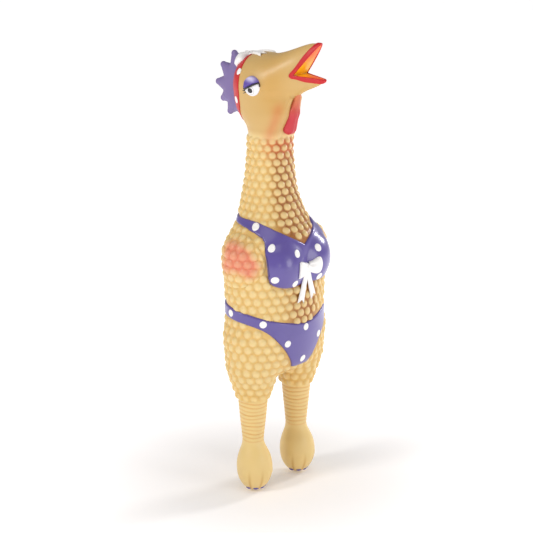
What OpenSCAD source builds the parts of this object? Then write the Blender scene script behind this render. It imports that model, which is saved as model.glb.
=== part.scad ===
// Rubber chicken in a polka-dot bikini: a hollow latex figure that stands on its toes.
// +Z is up, the beak and the chest face -Y, and the chicken's right side is at -X.
// The origin is on the ground, under the middle of the whole figure's box.

/* [Body] */
// Half the width of the body at the hips
body_half_w = 62; // [60:1:64]
// Half the depth of the body, chest to back
body_half_d = 40.5; // [39:0.5:43]
// Radius of the neck just under the head
neck_r = 22.5; // [21.5:0.5:23]
// Thickness of the latex skin
wall = 2.4; // [2:0.2:2.8]

/* [Head] */
// Half the width of the head at the eyes
head_half_w = 27; // [25:0.5:29]
// Reach of the lower lip in front of the body's axis
beak_reach = 65; // [60:1:68]
// Reach of the comb behind the body's axis
comb_reach = 81; // [76:1:84]
// Height of the eyes above the ground
eye_z = 420; // [416:1:424]

/* [Legs] */
// Distance from the middle of the body to the middle of each leg
leg_x = 33.5; // [32:0.5:35]
// Radius of a shank at the ankle
ankle_r = 11.2; // [10.5:0.1:11.4]
// Half the width of a foot
foot_half_w = 18; // [16:0.5:19]

/* [Bikini] */
// Thickness of the raised bikini
cloth_t = 1.4; // [1:0.1:2]
// Radius of a polka dot
dot_r = 4; // [3:0.25:4.5]

/* [Squeaker] */
// Outer radius of the squeaker's tube
tube_r = 6.5; // [6:0.25:6.5]
// Radius of the squeaker's air hole
vent_r = 1.8; // [1.2:0.1:2.4]

/* [Hidden] */

// The body's axis sits in front of the origin, because the comb reaches further than the beak.
axis_y = (beak_reach - comb_reach) / 2;
// Points round a ring
ring_n = 24;
// Angle between two points of a ring
ring_step = 360 / ring_n;
// Room between a moving ball and the rim that it turns in
play = 0.5;
// Gap between a raised layer and the facets of the skin below it
lift = 0.3;
// The same gap where the skin below bends sharply, at the shoulders and the wings
loose_lift = 1;

latex = [0.95, 0.82, 0.55];
purple = [0.42, 0.35, 0.68];
comb_purple = [0.55, 0.47, 0.7];
red = [0.88, 0.1, 0.2];
orange = [0.96, 0.55, 0.12];
white = [0.97, 0.97, 0.95];
black = [0.08, 0.07, 0.09];
pink = [0.85, 0.35, 0.38];

// Levels of the body: height, half width and half depth as shares of the body's, lean towards +Y.
body_levels = [
    [134, 0.965, 0.84, 0], [142, 0.99, 0.9, 0], [152, 1, 0.95, 0], [165, 1, 0.985, 0],
    [174, 0.965, 1, 0], [184, 0.935, 1, 0], [212, 0.945, 1, 0], [230, 0.965, 1, 0],
    [256, 0.97, 0.985, 0], [264, 0.92, 0.96, 0], [270, 0.82, 0.925, 0.5],
    [276, 0.71, 0.875, 1.5], [283, 0.6, 0.81, 3], [290, 0.53, 0.775, 4.5]
];
// Levels of the neck above the shoulders: height and radius as a share of the neck's.
neck_levels = [
    [290, 1.42], [304, 1.24], [312, 1.17], [320, 1.13], [330, 1.085], [345, 1.035], [358, 1], [366, 1]
];
// Levels of the head: height, half width as a share of the head's, front, back, narrowing of the front.
head_levels = [
    [366, 0.83, -16, 29, 0], [374, 0.86, -18, 33, 0], [384, 0.92, -22, 41, 0.05],
    [394, 0.97, -25, 47, 0.1], [404, 1, -28, 50, 0.2], [412, 1.01, -33, 51, 0.3],
    [418, 1.01, -43, 51, 0.42], [424, 1, -54, 50, 0.5], [430, 0.97, -64, 48, 0.52],
    [436, 0.93, -63, 46, 0.52], [442, 0.86, -62.5, 42, 0.5], [447, 0.73, -62, 35, 0.48],
    [450, 0.6, -61.5, 24, 0.42], [453, 0.47, -61, 0, 0.25], [457, 0.4, -61, -17, 0.1],
    [461, 0.32, -60.5, -30, 0], [464, 0.24, -60, -40, 0], [466, 0.15, -58, -47, 0]
];

// Pivots of the flexing places, as height and lean, and the radii of their balls
neck_pivot = [300, 5.5];
neck_ball = 29;
throat_pivot = [338, 6.8];
throat_ball = 22.6;
hip_z = 106;
hip_ball = 17;
ankle_z = 50;
ankle_ball = 11.6;
// Corner of the mouth, which the lower beak turns about
mouth_y = -32;
mouth_z = 432.5;
// Slopes of the upper and the lower edge of the open mouth
upper_slope = 50;
lower_slope = -3;
jaw_r = 15;
// Degrees that the lower beak can be pulled further open
jaw_opens = 10;
// Height of the plane where the head turns on the neck
head_z = 366;
spigot_r = neck_r - 3.2;

// Value of column k of a table at height z
function level(table, z, k) = lookup(z, [for (row = table) [row[0], row[k]]]);

// Point of the body's surface at angle a from the front, at height z, raised by t
function body_at(a, z, t) = [
    (body_half_w * level(body_levels, z, 1) + t) * sin(a),
    level(body_levels, z, 3) - (body_half_d * level(body_levels, z, 2) + t) * cos(a),
    z
];

// Point of the head's surface at angle a from the front, at height z, raised by t
function head_at(a, z, t) =
    let (
        front = level(head_levels, z, 2) - t,
        back = level(head_levels, z, 3) + t,
        half_w = head_half_w * level(head_levels, z, 1) + t,
        narrow = level(head_levels, z, 4)
    )
    [
        half_w * sin(a) * (1 - narrow * (1 + cos(a)) / 2) / (1 - narrow * 0.25),
        (front + back) / 2 - (back - front) / 2 * cos(a),
        z
    ];

// Ring of points at height z, with half width a, half depth b and middle (x, y)
function ring(z, a, b, y, x = 0) = [
    for (i = [0:ring_n - 1]) [x + a * sin(i * ring_step), y - b * cos(i * ring_step), z]
];

// Rings of a ball between two angles above its equator
function ball_rings(r, z, from, to, y, x = 0, steps = 6) = [
    for (s = [0:steps])
        let (e = from + (to - from) * s / steps)
        ring(z + r * sin(e), r * cos(e), r * cos(e), y, x)
];

// Radius of a rim at height z that clears a ball of radius r at height zc
function rim_r(r, z, zc) = sqrt(r * r - pow(z - zc, 2)) / cos(ring_step / 2) + play;

// Solid through a list of rings; a looped one joins its last ring to its first
module loft(rings, looped = false) {
    count = len(rings);
    size = len(rings[0]);
    last = looped ? count - 1 : count - 2;
    walls = [
        for (k = [0:last], i = [0:size - 1])
            let (
                low = k * size,
                high = ((k + 1) % count) * size,
                j = (i + 1) % size
            )
            each [[low + i, high + i, high + j], [low + i, high + j, low + j]]
    ];
    caps = looped ? [] : [
        [for (i = [0:size - 1]) i],
        [for (i = [0:size - 1]) count * size - 1 - i]
    ];
    polyhedron([for (r = rings) each r], concat(walls, caps), convexity = 6);
}

// Closed layer between two sheets: sheet(p, q, k) gives a point for p and q from 0 to 1,
// on the inner sheet when k is 0 and on the outer one when k is 1.
module layer(sheet, cols, rows) {
    across = cols + 1;
    size = across * (rows + 1);
    quad = function(a, b, c, d) [[a, b, c], [a, c, d]];
    at = function(i, j, k) k * size + j * across + i;
    faces = concat(
        [for (i = [0:cols - 1], j = [0:rows - 1])
            each quad(at(i, j, 1), at(i, j + 1, 1), at(i + 1, j + 1, 1), at(i + 1, j, 1))],
        [for (i = [0:cols - 1], j = [0:rows - 1])
            each quad(at(i, j, 0), at(i + 1, j, 0), at(i + 1, j + 1, 0), at(i, j + 1, 0))],
        [for (i = [0:cols - 1])
            each quad(at(i, 0, 0), at(i, 0, 1), at(i + 1, 0, 1), at(i + 1, 0, 0))],
        [for (i = [0:cols - 1])
            each quad(at(i, rows, 1), at(i, rows, 0), at(i + 1, rows, 0), at(i + 1, rows, 1))],
        [for (j = [0:rows - 1])
            each quad(at(0, j, 0), at(0, j + 1, 0), at(0, j + 1, 1), at(0, j, 1))],
        [for (j = [0:rows - 1])
            each quad(at(cols, j, 1), at(cols, j + 1, 1), at(cols, j + 1, 0), at(cols, j, 0))]
    );
    points = [for (k = [0, 1], j = [0:rows], i = [0:cols]) sheet(i / cols, j / rows, k)];
    polyhedron(points, faces, convexity = 4);
}

// Point of the unit disc for p and q from 0 to 1
function disc_at(p, q) =
    let (
        u = 2 * p - 1,
        v = 2 * q - 1
    )
    [u * sqrt(1 - v * v / 2), v * sqrt(1 - u * u / 2)];

// Round raised patch on a surface: middle at angle a and height z, half sizes ra (degrees) and rz,
// between the base height and the base plus h, which fades out to the edge height at the rim.
module blister(at_skin, a, z, ra, rz, base, h, edge, cells = 6) {
    sheet = function(p, q, k)
        let (
            d = disc_at(p, q),
            rise = edge + (h - edge) * max(0, 1 - d[0] * d[0] - d[1] * d[1])
        )
        at_skin(a + ra * d[0], z + rz * d[1], base + k * rise);
    layer(sheet, cells, cells);
}

// Everything is drawn about the body's axis and moved to the origin's frame
module on_axis() {
    translate([0, axis_y, 0]) children();
}

module mirrored(side) {
    if (side > 0) children();
    else mirror([1, 0, 0]) children();
}

body_skin = function(a, z, t) body_at(a, z, t);
head_skin = function(a, z, t) head_at(a, z, t);

// ---- torso ----

panel_half_w = 37;
panel_low = 187;
panel_high = 213;

module torso_shell() {
    inner = function(z) ring(
        z,
        body_half_w * level(body_levels, z, 1) - wall,
        body_half_d * level(body_levels, z, 2) - wall,
        level(body_levels, z, 3)
    );
    top = body_levels[len(body_levels) - 1][0];
    opening = rim_r(neck_ball, top, neck_pivot[0]);
    outer_rings = [
        for (row = body_levels) ring(row[0], body_half_w * row[1], body_half_d * row[2], row[3])
    ];
    inner_rings = [
        for (i = [len(body_levels) - 2:-1:1]) inner(body_levels[i][0])
    ];
    floor_z = body_levels[0][0];
    color(latex) on_axis() difference() {
        loft(concat(
            outer_rings,
            [ring(top, opening, opening, neck_pivot[1])],
            inner_rings,
            [inner(floor_z + wall)]
        ));
        translate([0, 0, floor_z - 1])
            cylinder(r = tube_r + 0.05, h = wall + 2, $fn = 64);
        translate([-panel_half_w - play, -body_half_d - 5, panel_low - play])
            cube([2 * (panel_half_w + play), body_half_d, panel_high - panel_low + 2 * play]);
    }
}

module belly_panel() {
    sheet = function(p, q, k)
        let (
            x = (2 * p - 1) * panel_half_w,
            z = panel_low + (panel_high - panel_low) * q,
            t = (k - 1) * wall,
            a = asin(x / (body_half_w * level(body_levels, z, 1) + t)),
            y = body_at(a, z, t)[1]
        )
        [x, y, z];
    color(latex) on_axis() layer(sheet, 10, 4);
}

module wing(side) {
    color(pink) on_axis() mirrored(side)
        blister(body_skin, 93, 248, 44, 26, loose_lift, 3.8, 1, 10);
}

module left_wing() {
    wing(1);
}

module right_wing() {
    wing(-1);
}

// Levels of a thigh: height, half width, half depth
thigh_levels = [[116, 21.8, 22.2], [121, 23.2, 24.6], [127, 24.5, 28], [133.8, 25, 32]];

module thigh(side) {
    x = side * leg_x;
    low = thigh_levels[0][0];
    opening = rim_r(hip_ball, low, hip_z);
    color(latex) on_axis() loft(concat(
        [for (l = thigh_levels) ring(l[0], l[1], l[2], 0, x)],
        [for (i = [3:-1:1]) let (l = thigh_levels[i]) ring(l[0], l[1] - wall, l[2] - wall, 0, x)],
        [ring(low, opening, opening, 0, x)]
    ), looped = true);
}

module left_thigh() {
    thigh(1);
}

module right_thigh() {
    thigh(-1);
}

// ---- bikini ----

// Edges of one half of the bikini top: angle from the front and height. The neck strap runs round the nape.
top_upper_edge = [[0, 263], [16, 271], [31, 276.5], [49, 282.5], [70, 288], [88, 289.3], [180, 289.5]];
top_lower_edge = [
    [0, 225], [8, 222.5], [17, 221.5], [34, 224], [43, 228], [46, 244], [49, 266],
    [54, 273], [71, 278.5], [106, 283.5], [180, 284]
];
// Rise of the cups over the chest
function cup_rise(a, z) = 9 * pow(max(0, 1 - pow((a - 27) / 27, 2) - pow((z - 243) / 26, 2)), 1.5);
// Outer face of the bikini top over the chest
function top_face(a, z) = loose_lift + cloth_t + cup_rise(a, z);

top_sheet = function(p, q, k)
    let (
        a = p < 0.6 ? 1.5 + 54 * p / 0.6 : 55.5 + 124.5 * (p - 0.6) / 0.4,
        low = lookup(a, top_lower_edge),
        z = low + (lookup(a, top_upper_edge) - low) * q
    )
    body_at(a, z, loose_lift + k * (cloth_t + cup_rise(a, z)));

// Back strap from one wing to the other
back_strap_sheet = function(p, q, k) body_at(140 + 80 * p, 232 + 8 * q, loose_lift + k * cloth_t);

module bikini_top() {
    color(purple) on_axis() {
        layer(top_sheet, 30, 8);
        mirror([1, 0, 0]) layer(top_sheet, 30, 8);
        layer(back_strap_sheet, 10, 1);
        // Bridge between the cups, under the bow
        layer(function(p, q, k) body_at(2.6 * p - 1.3, 226 + 34 * q, loose_lift + k * cloth_t), 1, 2);
    }
}

// Gap between the bikini and the dots and bow that sit on it
stitch = 0.5;

// Polka dot at angle a and height z on a face of the bikini
module dot(face, a, z) {
    angle = dot_r / body_half_w * 57.3;
    blister(face, a, z, angle, dot_r, stitch, 0.6, 0.5, 4);
}

top_skin = function(a, z, t) body_at(a, z, top_face(a, z) + t);
bottom_skin = function(a, z, t) body_at(a, z, lift + cloth_t + t);

module bikini_top_dots() {
    color(white) on_axis() for (side = [1, -1]) mirrored(side)
        for (spot = [[72, 283.3], [42, 266], [14, 257], [40, 233.5], [17, 225.8]])
            dot(top_skin, spot[0], spot[1]);
}

// Edges of one half of the bikini bottom, from the middle of the front round to the middle of the back
brief_upper_edge = [[0, 181.5], [30, 186.5], [70, 196.3], [103, 201], [180, 203]];

function brief_lower_z(a) =
    a < 135
    ? max(135, 190 - 51 * exp((14 - a) / 24))
    : 189.6 - 54 * pow(sin((a - 135) * 2), 0.9);

bikini_bottom_sheet = function(p, q, k)
    let (
        a = 180 * p,
        z = brief_lower_z(a) + (lookup(a, brief_upper_edge) - brief_lower_z(a)) * q
    )
    body_at(a, z, lift + k * cloth_t);

module bikini_bottom() {
    color(purple) on_axis() {
        layer(bikini_bottom_sheet, 24, 7);
        mirror([1, 0, 0]) layer(bikini_bottom_sheet, 24, 7);
    }
}

module bikini_bottom_dots() {
    spots = [[99, 194.5], [52, 186.5], [22, 162.5], [130, 195.2], [160, 174], [167, 196]];
    color(white) on_axis() {
        for (side = [1, -1]) mirrored(side)
            for (spot = spots) dot(bottom_skin, spot[0], spot[1]);
        for (spot = [[0, 177], [0, 143], [180, 155]])
            dot(bottom_skin, spot[0], spot[1]);
    }
}

// ---- bows ----

// One loop of a bow, opening away from the knot along +X
module bow_loop(length, height, depth) {
    $fn = 16;
    hull() {
        translate([length * 0.12, 0, 0]) scale([0.2, depth / length, height / length * 0.3])
            sphere(length / 2);
        translate([length * 0.68, 0, 0]) scale([0.62, depth / length, height / length])
            sphere(length / 2);
    }
}

module bow(width, height, depth) {
    knot = height * 0.3;
    translate([knot + 0.1, 0, 0]) bow_loop((width - 2 * knot) / 2, height, depth);
    mirror([1, 0, 0]) translate([knot + 0.1, 0, 0]) bow_loop((width - 2 * knot) / 2, height, depth);
    rotate([90, 0, 0]) cylinder(r = knot, h = depth * 0.9, center = true, $fn = 40);
}

// Two flat ribbon ends below a knot, each with a notch
module bow_tails(length, width, thick) {
    for (side = [1, -1]) mirrored(side)
        rotate([90, 0, 0]) linear_extrude(thick, center = true)
            polygon([
                [0.2, 0], [width * 0.55, 0], [width * 1.35, -length * 0.97],
                [width * 0.95, -length * 0.86], [width * 0.45, -length], [0.2, -length * 0.2]
            ]);
}

bow_z = 237;
bow_front = body_at(0, bow_z, 0)[1];

// One loop of the chest bow, lying on the cup from the knot outwards
chest_loop_sheet = function(p, q, k)
    let (
        z = bow_z + 2.8 + (3.4 + 5.2 * sqrt(p)) * (2 * q - 1),
        rise = 1.6 + 3.2 * sin(180 * q) * sin(30 + 120 * p)
    )
    top_skin(4.4 + 13 * p, z, stitch + 0.2 + k * rise);

module chest_bow() {
    color(white) on_axis() {
        layer(chest_loop_sheet, 5, 4);
        mirror([1, 0, 0]) layer(chest_loop_sheet, 5, 4);
        blister(body_skin, 0, bow_z + 1.5, 3.6, 5, loose_lift + cloth_t + stitch + 0.8, 4, 2, 5);
    }
}

module chest_bow_tails() {
    color(white) on_axis() translate([0, bow_front - 5.2, bow_z - 4.5])
        rotate([-2, 0, 0]) bow_tails(30, 10, 2.4);
}

// ---- squeaker ----

squeaker_z = body_levels[0][0] - 1.4;
tube_len = 14;
tube_bore = tube_r - 1.2;
block_r = tube_bore - 0.05;
reed_y = 0.9;

module squeaker_housing() {
    color(white) on_axis() translate([0, 0, squeaker_z]) difference() {
        union() {
            cylinder(r = tube_r + 1.6, h = 1.3, $fn = 64);
            cylinder(r = tube_r, h = tube_len, $fn = 64);
        }
        translate([0, 0, -1]) cylinder(r = tube_bore, h = tube_len + 2, $fn = 64);
    }
}

module squeaker_cap() {
    color(white) on_axis() translate([0, 0, squeaker_z + 0.2]) difference() {
        cylinder(r = block_r, h = 1.4, $fn = 64);
        translate([0, 3, -1]) cylinder(r = vent_r, h = 4, $fn = 40);
    }
}

module reed_block() {
    color(white) on_axis() translate([0, 0, squeaker_z + 1.7]) difference() {
        cylinder(r = block_r, h = 11.5, $fn = 64);
        translate([-10, reed_y, -1]) cube([20, 20, 14]);
        // Air channel under the reed
        translate([-1.4, reed_y - 2, 3]) cube([2.8, 3, 10]);
    }
}

module reed() {
    color([0.9, 0.9, 0.6]) on_axis() translate([-2.6, reed_y + 0.15, squeaker_z + 2.2])
        cube([5.2, 0.25, 10]);
}

// ---- neck ----

// Rings of the neck between two heights, with the radius changed by grow
function neck_rings(heights, y, grow) = [
    for (z = heights)
        let (r = neck_r * level(neck_levels, z, 1) + grow)
        ring(z, r, r, y)
];

module neck_shell() {
    rim = throat_pivot[0] - 8;
    opening = rim_r(throat_ball, rim, throat_pivot[0]);
    color(latex) on_axis() loft(concat(
        ball_rings(neck_ball, neck_pivot[0], -68, 12, neck_pivot[1]),
        neck_rings([312, 320, rim], throat_pivot[1], 0),
        [ring(rim, opening, opening, throat_pivot[1])],
        neck_rings([324, 316], throat_pivot[1], -wall),
        ball_rings(neck_ball - wall, neck_pivot[0], 12, -68, neck_pivot[1])
    ), looped = true);
}

module throat_shell() {
    low_y = throat_pivot[1];
    color(latex) on_axis() loft(concat(
        ball_rings(throat_ball, throat_pivot[0], -66, 8, low_y),
        neck_rings([345, 352, 358], low_y, 0),
        [ring(head_z - play / 2, neck_r, neck_r, low_y)],
        [ring(head_z - play / 2, spigot_r, spigot_r, low_y)],
        [ring(head_z + 5, spigot_r, spigot_r, low_y)],
        [ring(head_z + 5, spigot_r - wall, spigot_r - wall, low_y)],
        neck_rings([358, 345], low_y, -wall - 1),
        ball_rings(throat_ball - wall, throat_pivot[0], 8, -66, low_y)
    ), looped = true);
}

// ---- head ----

// Solid of the whole head with both beaks, raised by t
module head_form(t = 0) {
    top = len(head_levels) - 1;
    rings = [
        for (row = head_levels)
            [for (i = [0:ring_n - 1]) head_at(i * ring_step, row[0], t)]
    ];
    crest = [for (i = [0:ring_n - 1]) head_at(i * ring_step, head_levels[top][0], t - 3) + [0, 0, t + 1]];
    loft(concat(rings, [crest]));
}

// Slab across the head from a profile in the plane of Y and Z, given about the mouth's corner
module across_head(half_w = 40) {
    translate([-half_w, mouth_y, mouth_z]) rotate([90, 0, 90]) linear_extrude(2 * half_w) children();
}

// Wedge in the side view between two angles below and above straight ahead
module sector(r, from, to, steps = 12) {
    polygon(concat([[0, 0]], [
        for (s = [0:steps])
            let (e = from + (to - from) * s / steps)
            [-r * cos(e), r * sin(e)]
    ]));
}

lip_t = 3.6;

// Side view of the lower beak's share of the head, with room g round its knuckle and turn below its back
module jaw_side(g = 0, turn = 0) {
    sector(jaw_r + g, lower_slope, -150 - turn);
    sector(60, lower_slope, -80 - turn);
}

module mouth_side() {
    sector(60, lower_slope, upper_slope, 4);
}

// Strip along one edge of the mouth, side +1 above it and -1 below it
module lip_side(side) {
    slope = side > 0 ? upper_slope : lower_slope;
    rotate(-slope) translate([-60, side > 0 ? 0 : -lip_t]) square([60, lip_t]);
}

module head_cavity() {
    levels = [[360, 0], [374, 0], [384, 0], [394, 0], [404, 0], [412, 2], [424, 6], [436, 8], [444, 9]];
    loft([
        for (l = levels)
            let (
                z = max(l[0], head_z),
                low = l[0] < head_z + 6,
                front = low ? -spigot_r + throat_pivot[1] - play : max(level(head_levels, z, 2) + wall + l[1], -26),
                back = low ? spigot_r + throat_pivot[1] + play : level(head_levels, z, 3) - wall - l[1],
                half_w = low ? spigot_r + play : head_half_w * level(head_levels, z, 1) - wall - l[1]
            )
            ring(l[0], half_w, (back - front) / 2, (back + front) / 2)
    ]);
}

module head_shell() {
    color(latex) on_axis() difference() {
        head_form();
        head_cavity();
        across_head() mouth_side();
        across_head() lip_side(1);
        across_head() jaw_side(play, jaw_opens + 2);
    }
}

// Inside of the lips, where the lining begins
module lip_core() {
    head_form(-2.6);
}

module upper_lip() {
    color(red) on_axis() difference() {
        intersection() {
            head_form(0.8);
            across_head() difference() {
                lip_side(1);
                circle(2, $fn = 24);
            }
        }
        lip_core();
    }
}

module mouth_lining() {
    color(orange) on_axis() intersection() {
        head_form(-2.8);
        across_head() difference() {
            lip_side(1);
            circle(jaw_r / 3, $fn = 24);
            rotate(-upper_slope) translate([-60, -1]) square([60, 2.2]);
        }
    }
}

module lower_beak() {
    color(latex) on_axis() intersection() {
        head_form();
        across_head() difference() {
            jaw_side();
            lip_side(-1);
        }
    }
}

module lower_lip() {
    color(red) on_axis() difference() {
        intersection() {
            head_form(0.8);
            across_head() difference() {
                lip_side(-1);
                translate([-3, -4]) square([6, 8]);
            }
        }
        lip_core();
    }
}

module jaw_lining() {
    color(orange) on_axis() intersection() {
        head_form(-2.8);
        across_head() difference() {
            lip_side(-1);
            translate([-4, -4]) square([8, 8]);
            rotate(-lower_slope) translate([-60, -1.2]) square([60, 2.2]);
        }
    }
}

// ---- eyes ----

eye_a = 98;

module eye(side) {
    color(white) on_axis() mirrored(side)
        blister(head_skin, eye_a, eye_z, 13, 10, lift, 3, 0.8, 7);
}

module eyelid(side) {
    sheet = function(p, q, k)
        let (
            d = disc_at(p, 0.62 + 0.38 * q),
            bulge = 3 * max(0, 1 - d[0] * d[0] - d[1] * d[1])
        )
        head_at(eye_a + 14 * d[0], eye_z + 10.6 * d[1], lift + 0.5 + bulge + k * 1.3);
    color(purple) on_axis() mirrored(side) layer(sheet, 8, 3);
}

module pupil(side) {
    color(black) on_axis() mirrored(side)
        blister(head_skin, eye_a - 2, eye_z - 3.5, 3.4, 3, lift + 3.3, 0.6, 0.4, 4);
}

module left_eye() {
    eye(1);
}

module right_eye() {
    eye(-1);
}

module left_eyelid() {
    eyelid(1);
}

module right_eyelid() {
    eyelid(-1);
}

module left_pupil() {
    pupil(1);
}

module right_pupil() {
    pupil(-1);
}

// ---- comb, headband and wattle ----

// Distance behind the axis of the headband's front edge
band_y = 37;
band_w = 6;
// Middle of the fan of spikes, as reach behind the axis and height
comb_middle = [40, 412];
comb_tip_r = comb_reach - comb_middle[0];
comb_valley_r = 30;
spikes = 5;
spike_step = 30.5;
comb_low_a = -68;
comb_high_a = 82;

module comb() {
    sheet = function(p, q, k)
        let (
            a = comb_low_a + (comb_high_a - comb_low_a) * p,
            wave = (1 + cos(360 * (a - 7) / spike_step)) / 2,
            fade = min(1, (a - comb_low_a) / 8, (comb_high_a - a) / 8),
            reach = comb_valley_r + (comb_tip_r - comb_valley_r) * wave - 4 * (1 - fade),
            foot_z = 386 + 56 * p,
            foot_y = max(level(head_levels, foot_z, 3) + lift, band_y + band_w + 0.5),
            half_t = 8.5 - 6 * q
        )
        [
            (1 - 2 * k) * half_t,
            foot_y + (comb_middle[0] + reach * cos(a) - foot_y) * q,
            foot_z + (comb_middle[1] + reach * sin(a) - foot_z) * q
        ];
    color(comb_purple) on_axis() layer(sheet, spikes * 8, 4);
}

module headband() {
    color(red) on_axis() difference() {
        intersection() {
            head_form(1.6);
            translate([-30, band_y, 380]) cube([60, band_w, 75]);
        }
        head_form(lift);
    }
}

module headband_dots() {
    color(white) on_axis() for (side = [1, -1]) mirrored(side)
        for (spot = [[158, 426], [155, 400]])
            blister(head_skin, spot[0], spot[1], 2.4, 3.4, 1.9, 0.5, 0.4, 4);
}

crown_bow_y = 37;
crown_bow_z = 452.5;

module head_bow() {
    color(white) on_axis() translate([0, crown_bow_y, crown_bow_z]) rotate([-115, 0, 0])
        bow(28, 13, 7);
}

module head_bow_tails() {
    color(white) on_axis() translate([0, crown_bow_y - 10, crown_bow_z - 0.4])
        rotate([-98, 0, 0]) bow_tails(20, 8, 2);
}

module wattle() {
    sheet = function(p, q, k)
        let (
            z = 374 + 37 * q,
            half = 3 + 5 * sin(150 * q),
            front = level(head_levels, z, 2)
        )
        [
            half * (2 * p - 1),
            front - 0.3 + 1.2 * pow(2 * p - 1, 2) - k * (2 + 5.5 * sin(165 * (1 - q)) * (1 - pow(2 * p - 1, 2) * 0.7)),
            z
        ];
    color(red) on_axis() layer(sheet, 6, 8);
}

// ---- legs ----

module shank(side) {
    x = side * leg_x;
    radii = [[56, ankle_r], [72, ankle_r + 0.8], [88, ankle_r + 1.8], [96, ankle_r + 3]];
    color(latex) on_axis() loft(concat(
        ball_rings(ankle_ball, ankle_z, -84, 14, 0, x, 6),
        [for (r = radii) ring(r[0] + 0.5, r[1], r[1], 0, x)],
        ball_rings(hip_ball, hip_z, -14, 62, 0, x),
        ball_rings(hip_ball - wall, hip_z, 56, -16, 0, x, 6),
        [for (i = [2, 1, 0]) ring(radii[i][0], radii[i][1] - wall, radii[i][1] - wall, 0, x)]
    ));
}

module left_shank() {
    shank(1);
}

module right_shank() {
    shank(-1);
}

// Levels of a foot: height, half width as a share of the foot's, half depth as a share, middle
foot_levels = [
    [0, 0.72, 0.68, -3], [3, 0.85, 0.82, -3], [9, 0.95, 0.94, -2.5], [17, 1, 1.03, -2],
    [25, 0.98, 1.02, -1], [33, 0.92, 0.95, 0], [40, 0.85, 0.86, 0], [46, 0.79, 0.79, 0]
];

module foot(side) {
    x = side * leg_x;
    top = foot_levels[len(foot_levels) - 1][0];
    opening = rim_r(ankle_ball, top, ankle_z);
    socket = ankle_ball + play + 0.1;
    color(latex) on_axis() loft(concat(
        [for (l = foot_levels) ring(l[0], foot_half_w * l[1], foot_half_w * l[2], l[3], x)],
        [ring(top, opening, opening, 0, x)],
        ball_rings(socket, ankle_z, -30, -84, 0, x, 5)
    ));
}

module left_foot() {
    foot(1);
}

module right_foot() {
    foot(-1);
}

// Three nails on the front of the toes
module toenails(side) {
    color(purple) on_axis() for (a = [-34, 0, 34]) {
        sheet = function(p, q, k)
            let (
                d = disc_at(p, q),
                angle = a + 9 * d[0],
                z = 4.5 + 3 * d[1],
                t = 0.25 + k * 0.9,
                half_w = foot_half_w * level(foot_levels, z, 1) + t,
                half_d = foot_half_w * level(foot_levels, z, 2) + t
            )
            [
                side * leg_x + half_w * sin(angle),
                level(foot_levels, z, 3) - half_d * cos(angle),
                z
            ];
        layer(sheet, 4, 4);
    }
}

module left_toenails() {
    toenails(1);
}

module right_toenails() {
    toenails(-1);
}

torso_shell();
belly_panel();
left_wing();
right_wing();
left_thigh();
right_thigh();
bikini_top();
bikini_top_dots();
bikini_bottom();
bikini_bottom_dots();
chest_bow();
chest_bow_tails();
squeaker_housing();
squeaker_cap();
reed_block();
reed();
neck_shell();
throat_shell();
head_shell();
comb();
headband();
headband_dots();
head_bow();
head_bow_tails();
left_eye();
right_eye();
left_eyelid();
right_eyelid();
left_pupil();
right_pupil();
upper_lip();
mouth_lining();
wattle();
lower_beak();
lower_lip();
jaw_lining();
left_shank();
right_shank();
left_foot();
right_foot();
left_toenails();
right_toenails();
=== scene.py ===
"""Rubber chicken in a polka-dot bikini: the looks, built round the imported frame.

Shapes are worked out in millimetres about the axis of the body, with +Z up and the beak towards -Y,
and are moved to the frame, in metres, when each mesh is made.
"""

import math

import bpy
import numpy as np
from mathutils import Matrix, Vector
from mathutils.kdtree import KDTree


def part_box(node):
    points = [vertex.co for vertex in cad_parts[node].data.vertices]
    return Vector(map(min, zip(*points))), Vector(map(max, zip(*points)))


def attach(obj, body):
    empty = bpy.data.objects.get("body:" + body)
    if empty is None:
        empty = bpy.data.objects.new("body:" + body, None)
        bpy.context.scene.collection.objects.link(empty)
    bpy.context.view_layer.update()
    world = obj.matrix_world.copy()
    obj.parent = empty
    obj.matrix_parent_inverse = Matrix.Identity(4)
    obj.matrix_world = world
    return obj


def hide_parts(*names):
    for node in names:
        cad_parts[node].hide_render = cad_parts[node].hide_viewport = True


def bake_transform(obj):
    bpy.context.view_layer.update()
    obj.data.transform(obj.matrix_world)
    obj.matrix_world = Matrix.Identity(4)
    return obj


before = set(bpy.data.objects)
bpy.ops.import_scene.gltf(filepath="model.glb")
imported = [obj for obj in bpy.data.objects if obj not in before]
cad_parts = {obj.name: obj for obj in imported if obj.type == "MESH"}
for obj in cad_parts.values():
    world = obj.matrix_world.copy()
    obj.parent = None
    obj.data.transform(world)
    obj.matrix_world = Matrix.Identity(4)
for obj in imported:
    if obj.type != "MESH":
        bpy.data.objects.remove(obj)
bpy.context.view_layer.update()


# ---------------------------------------------------------------- places taken from the frame

MM = 0.001


def middle(node):
    """Middle of a CAD node's box, in metres."""
    low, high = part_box(node)
    return (low + high) / 2


AXIS_Y = middle("squeaker_housing").y
LEG_X = middle("left_shank").x / MM
EYE = np.array([25.0, 9.0, middle("left_eye").z / MM])
SQUEAKER_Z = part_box("squeaker_housing")[0].z / MM
MOUTH = np.array([0.0, -32.0, 432.5])
UPPER_SLOPE = math.radians(50)
LOWER_SLOPE = math.radians(-3)

# Heights where the skin is divided between the moving bodies
HIP_CUT = 116
SHOULDER_CUT = 290
THROAT_CUT = 326
TURN_CUT = 347
HEAD_CUT = 377
ANKLE_CUT = 58

# Each leg has its own rows of nubs below the crotch
CROTCH_Z = 125

# Size of a mesh cell
CELL = 0.9
FINE = 0.6


def to_frame(points):
    """Points in the body's millimetres, moved to the frame, in metres."""
    moved = np.asarray(points, float) * MM
    moved[:, 1] += AXIS_Y
    return moved


def spot(x, y, z):
    """Point of the body's own millimetres in the frame, in metres."""
    return tuple(to_frame([[x, y, z]])[0])


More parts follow.
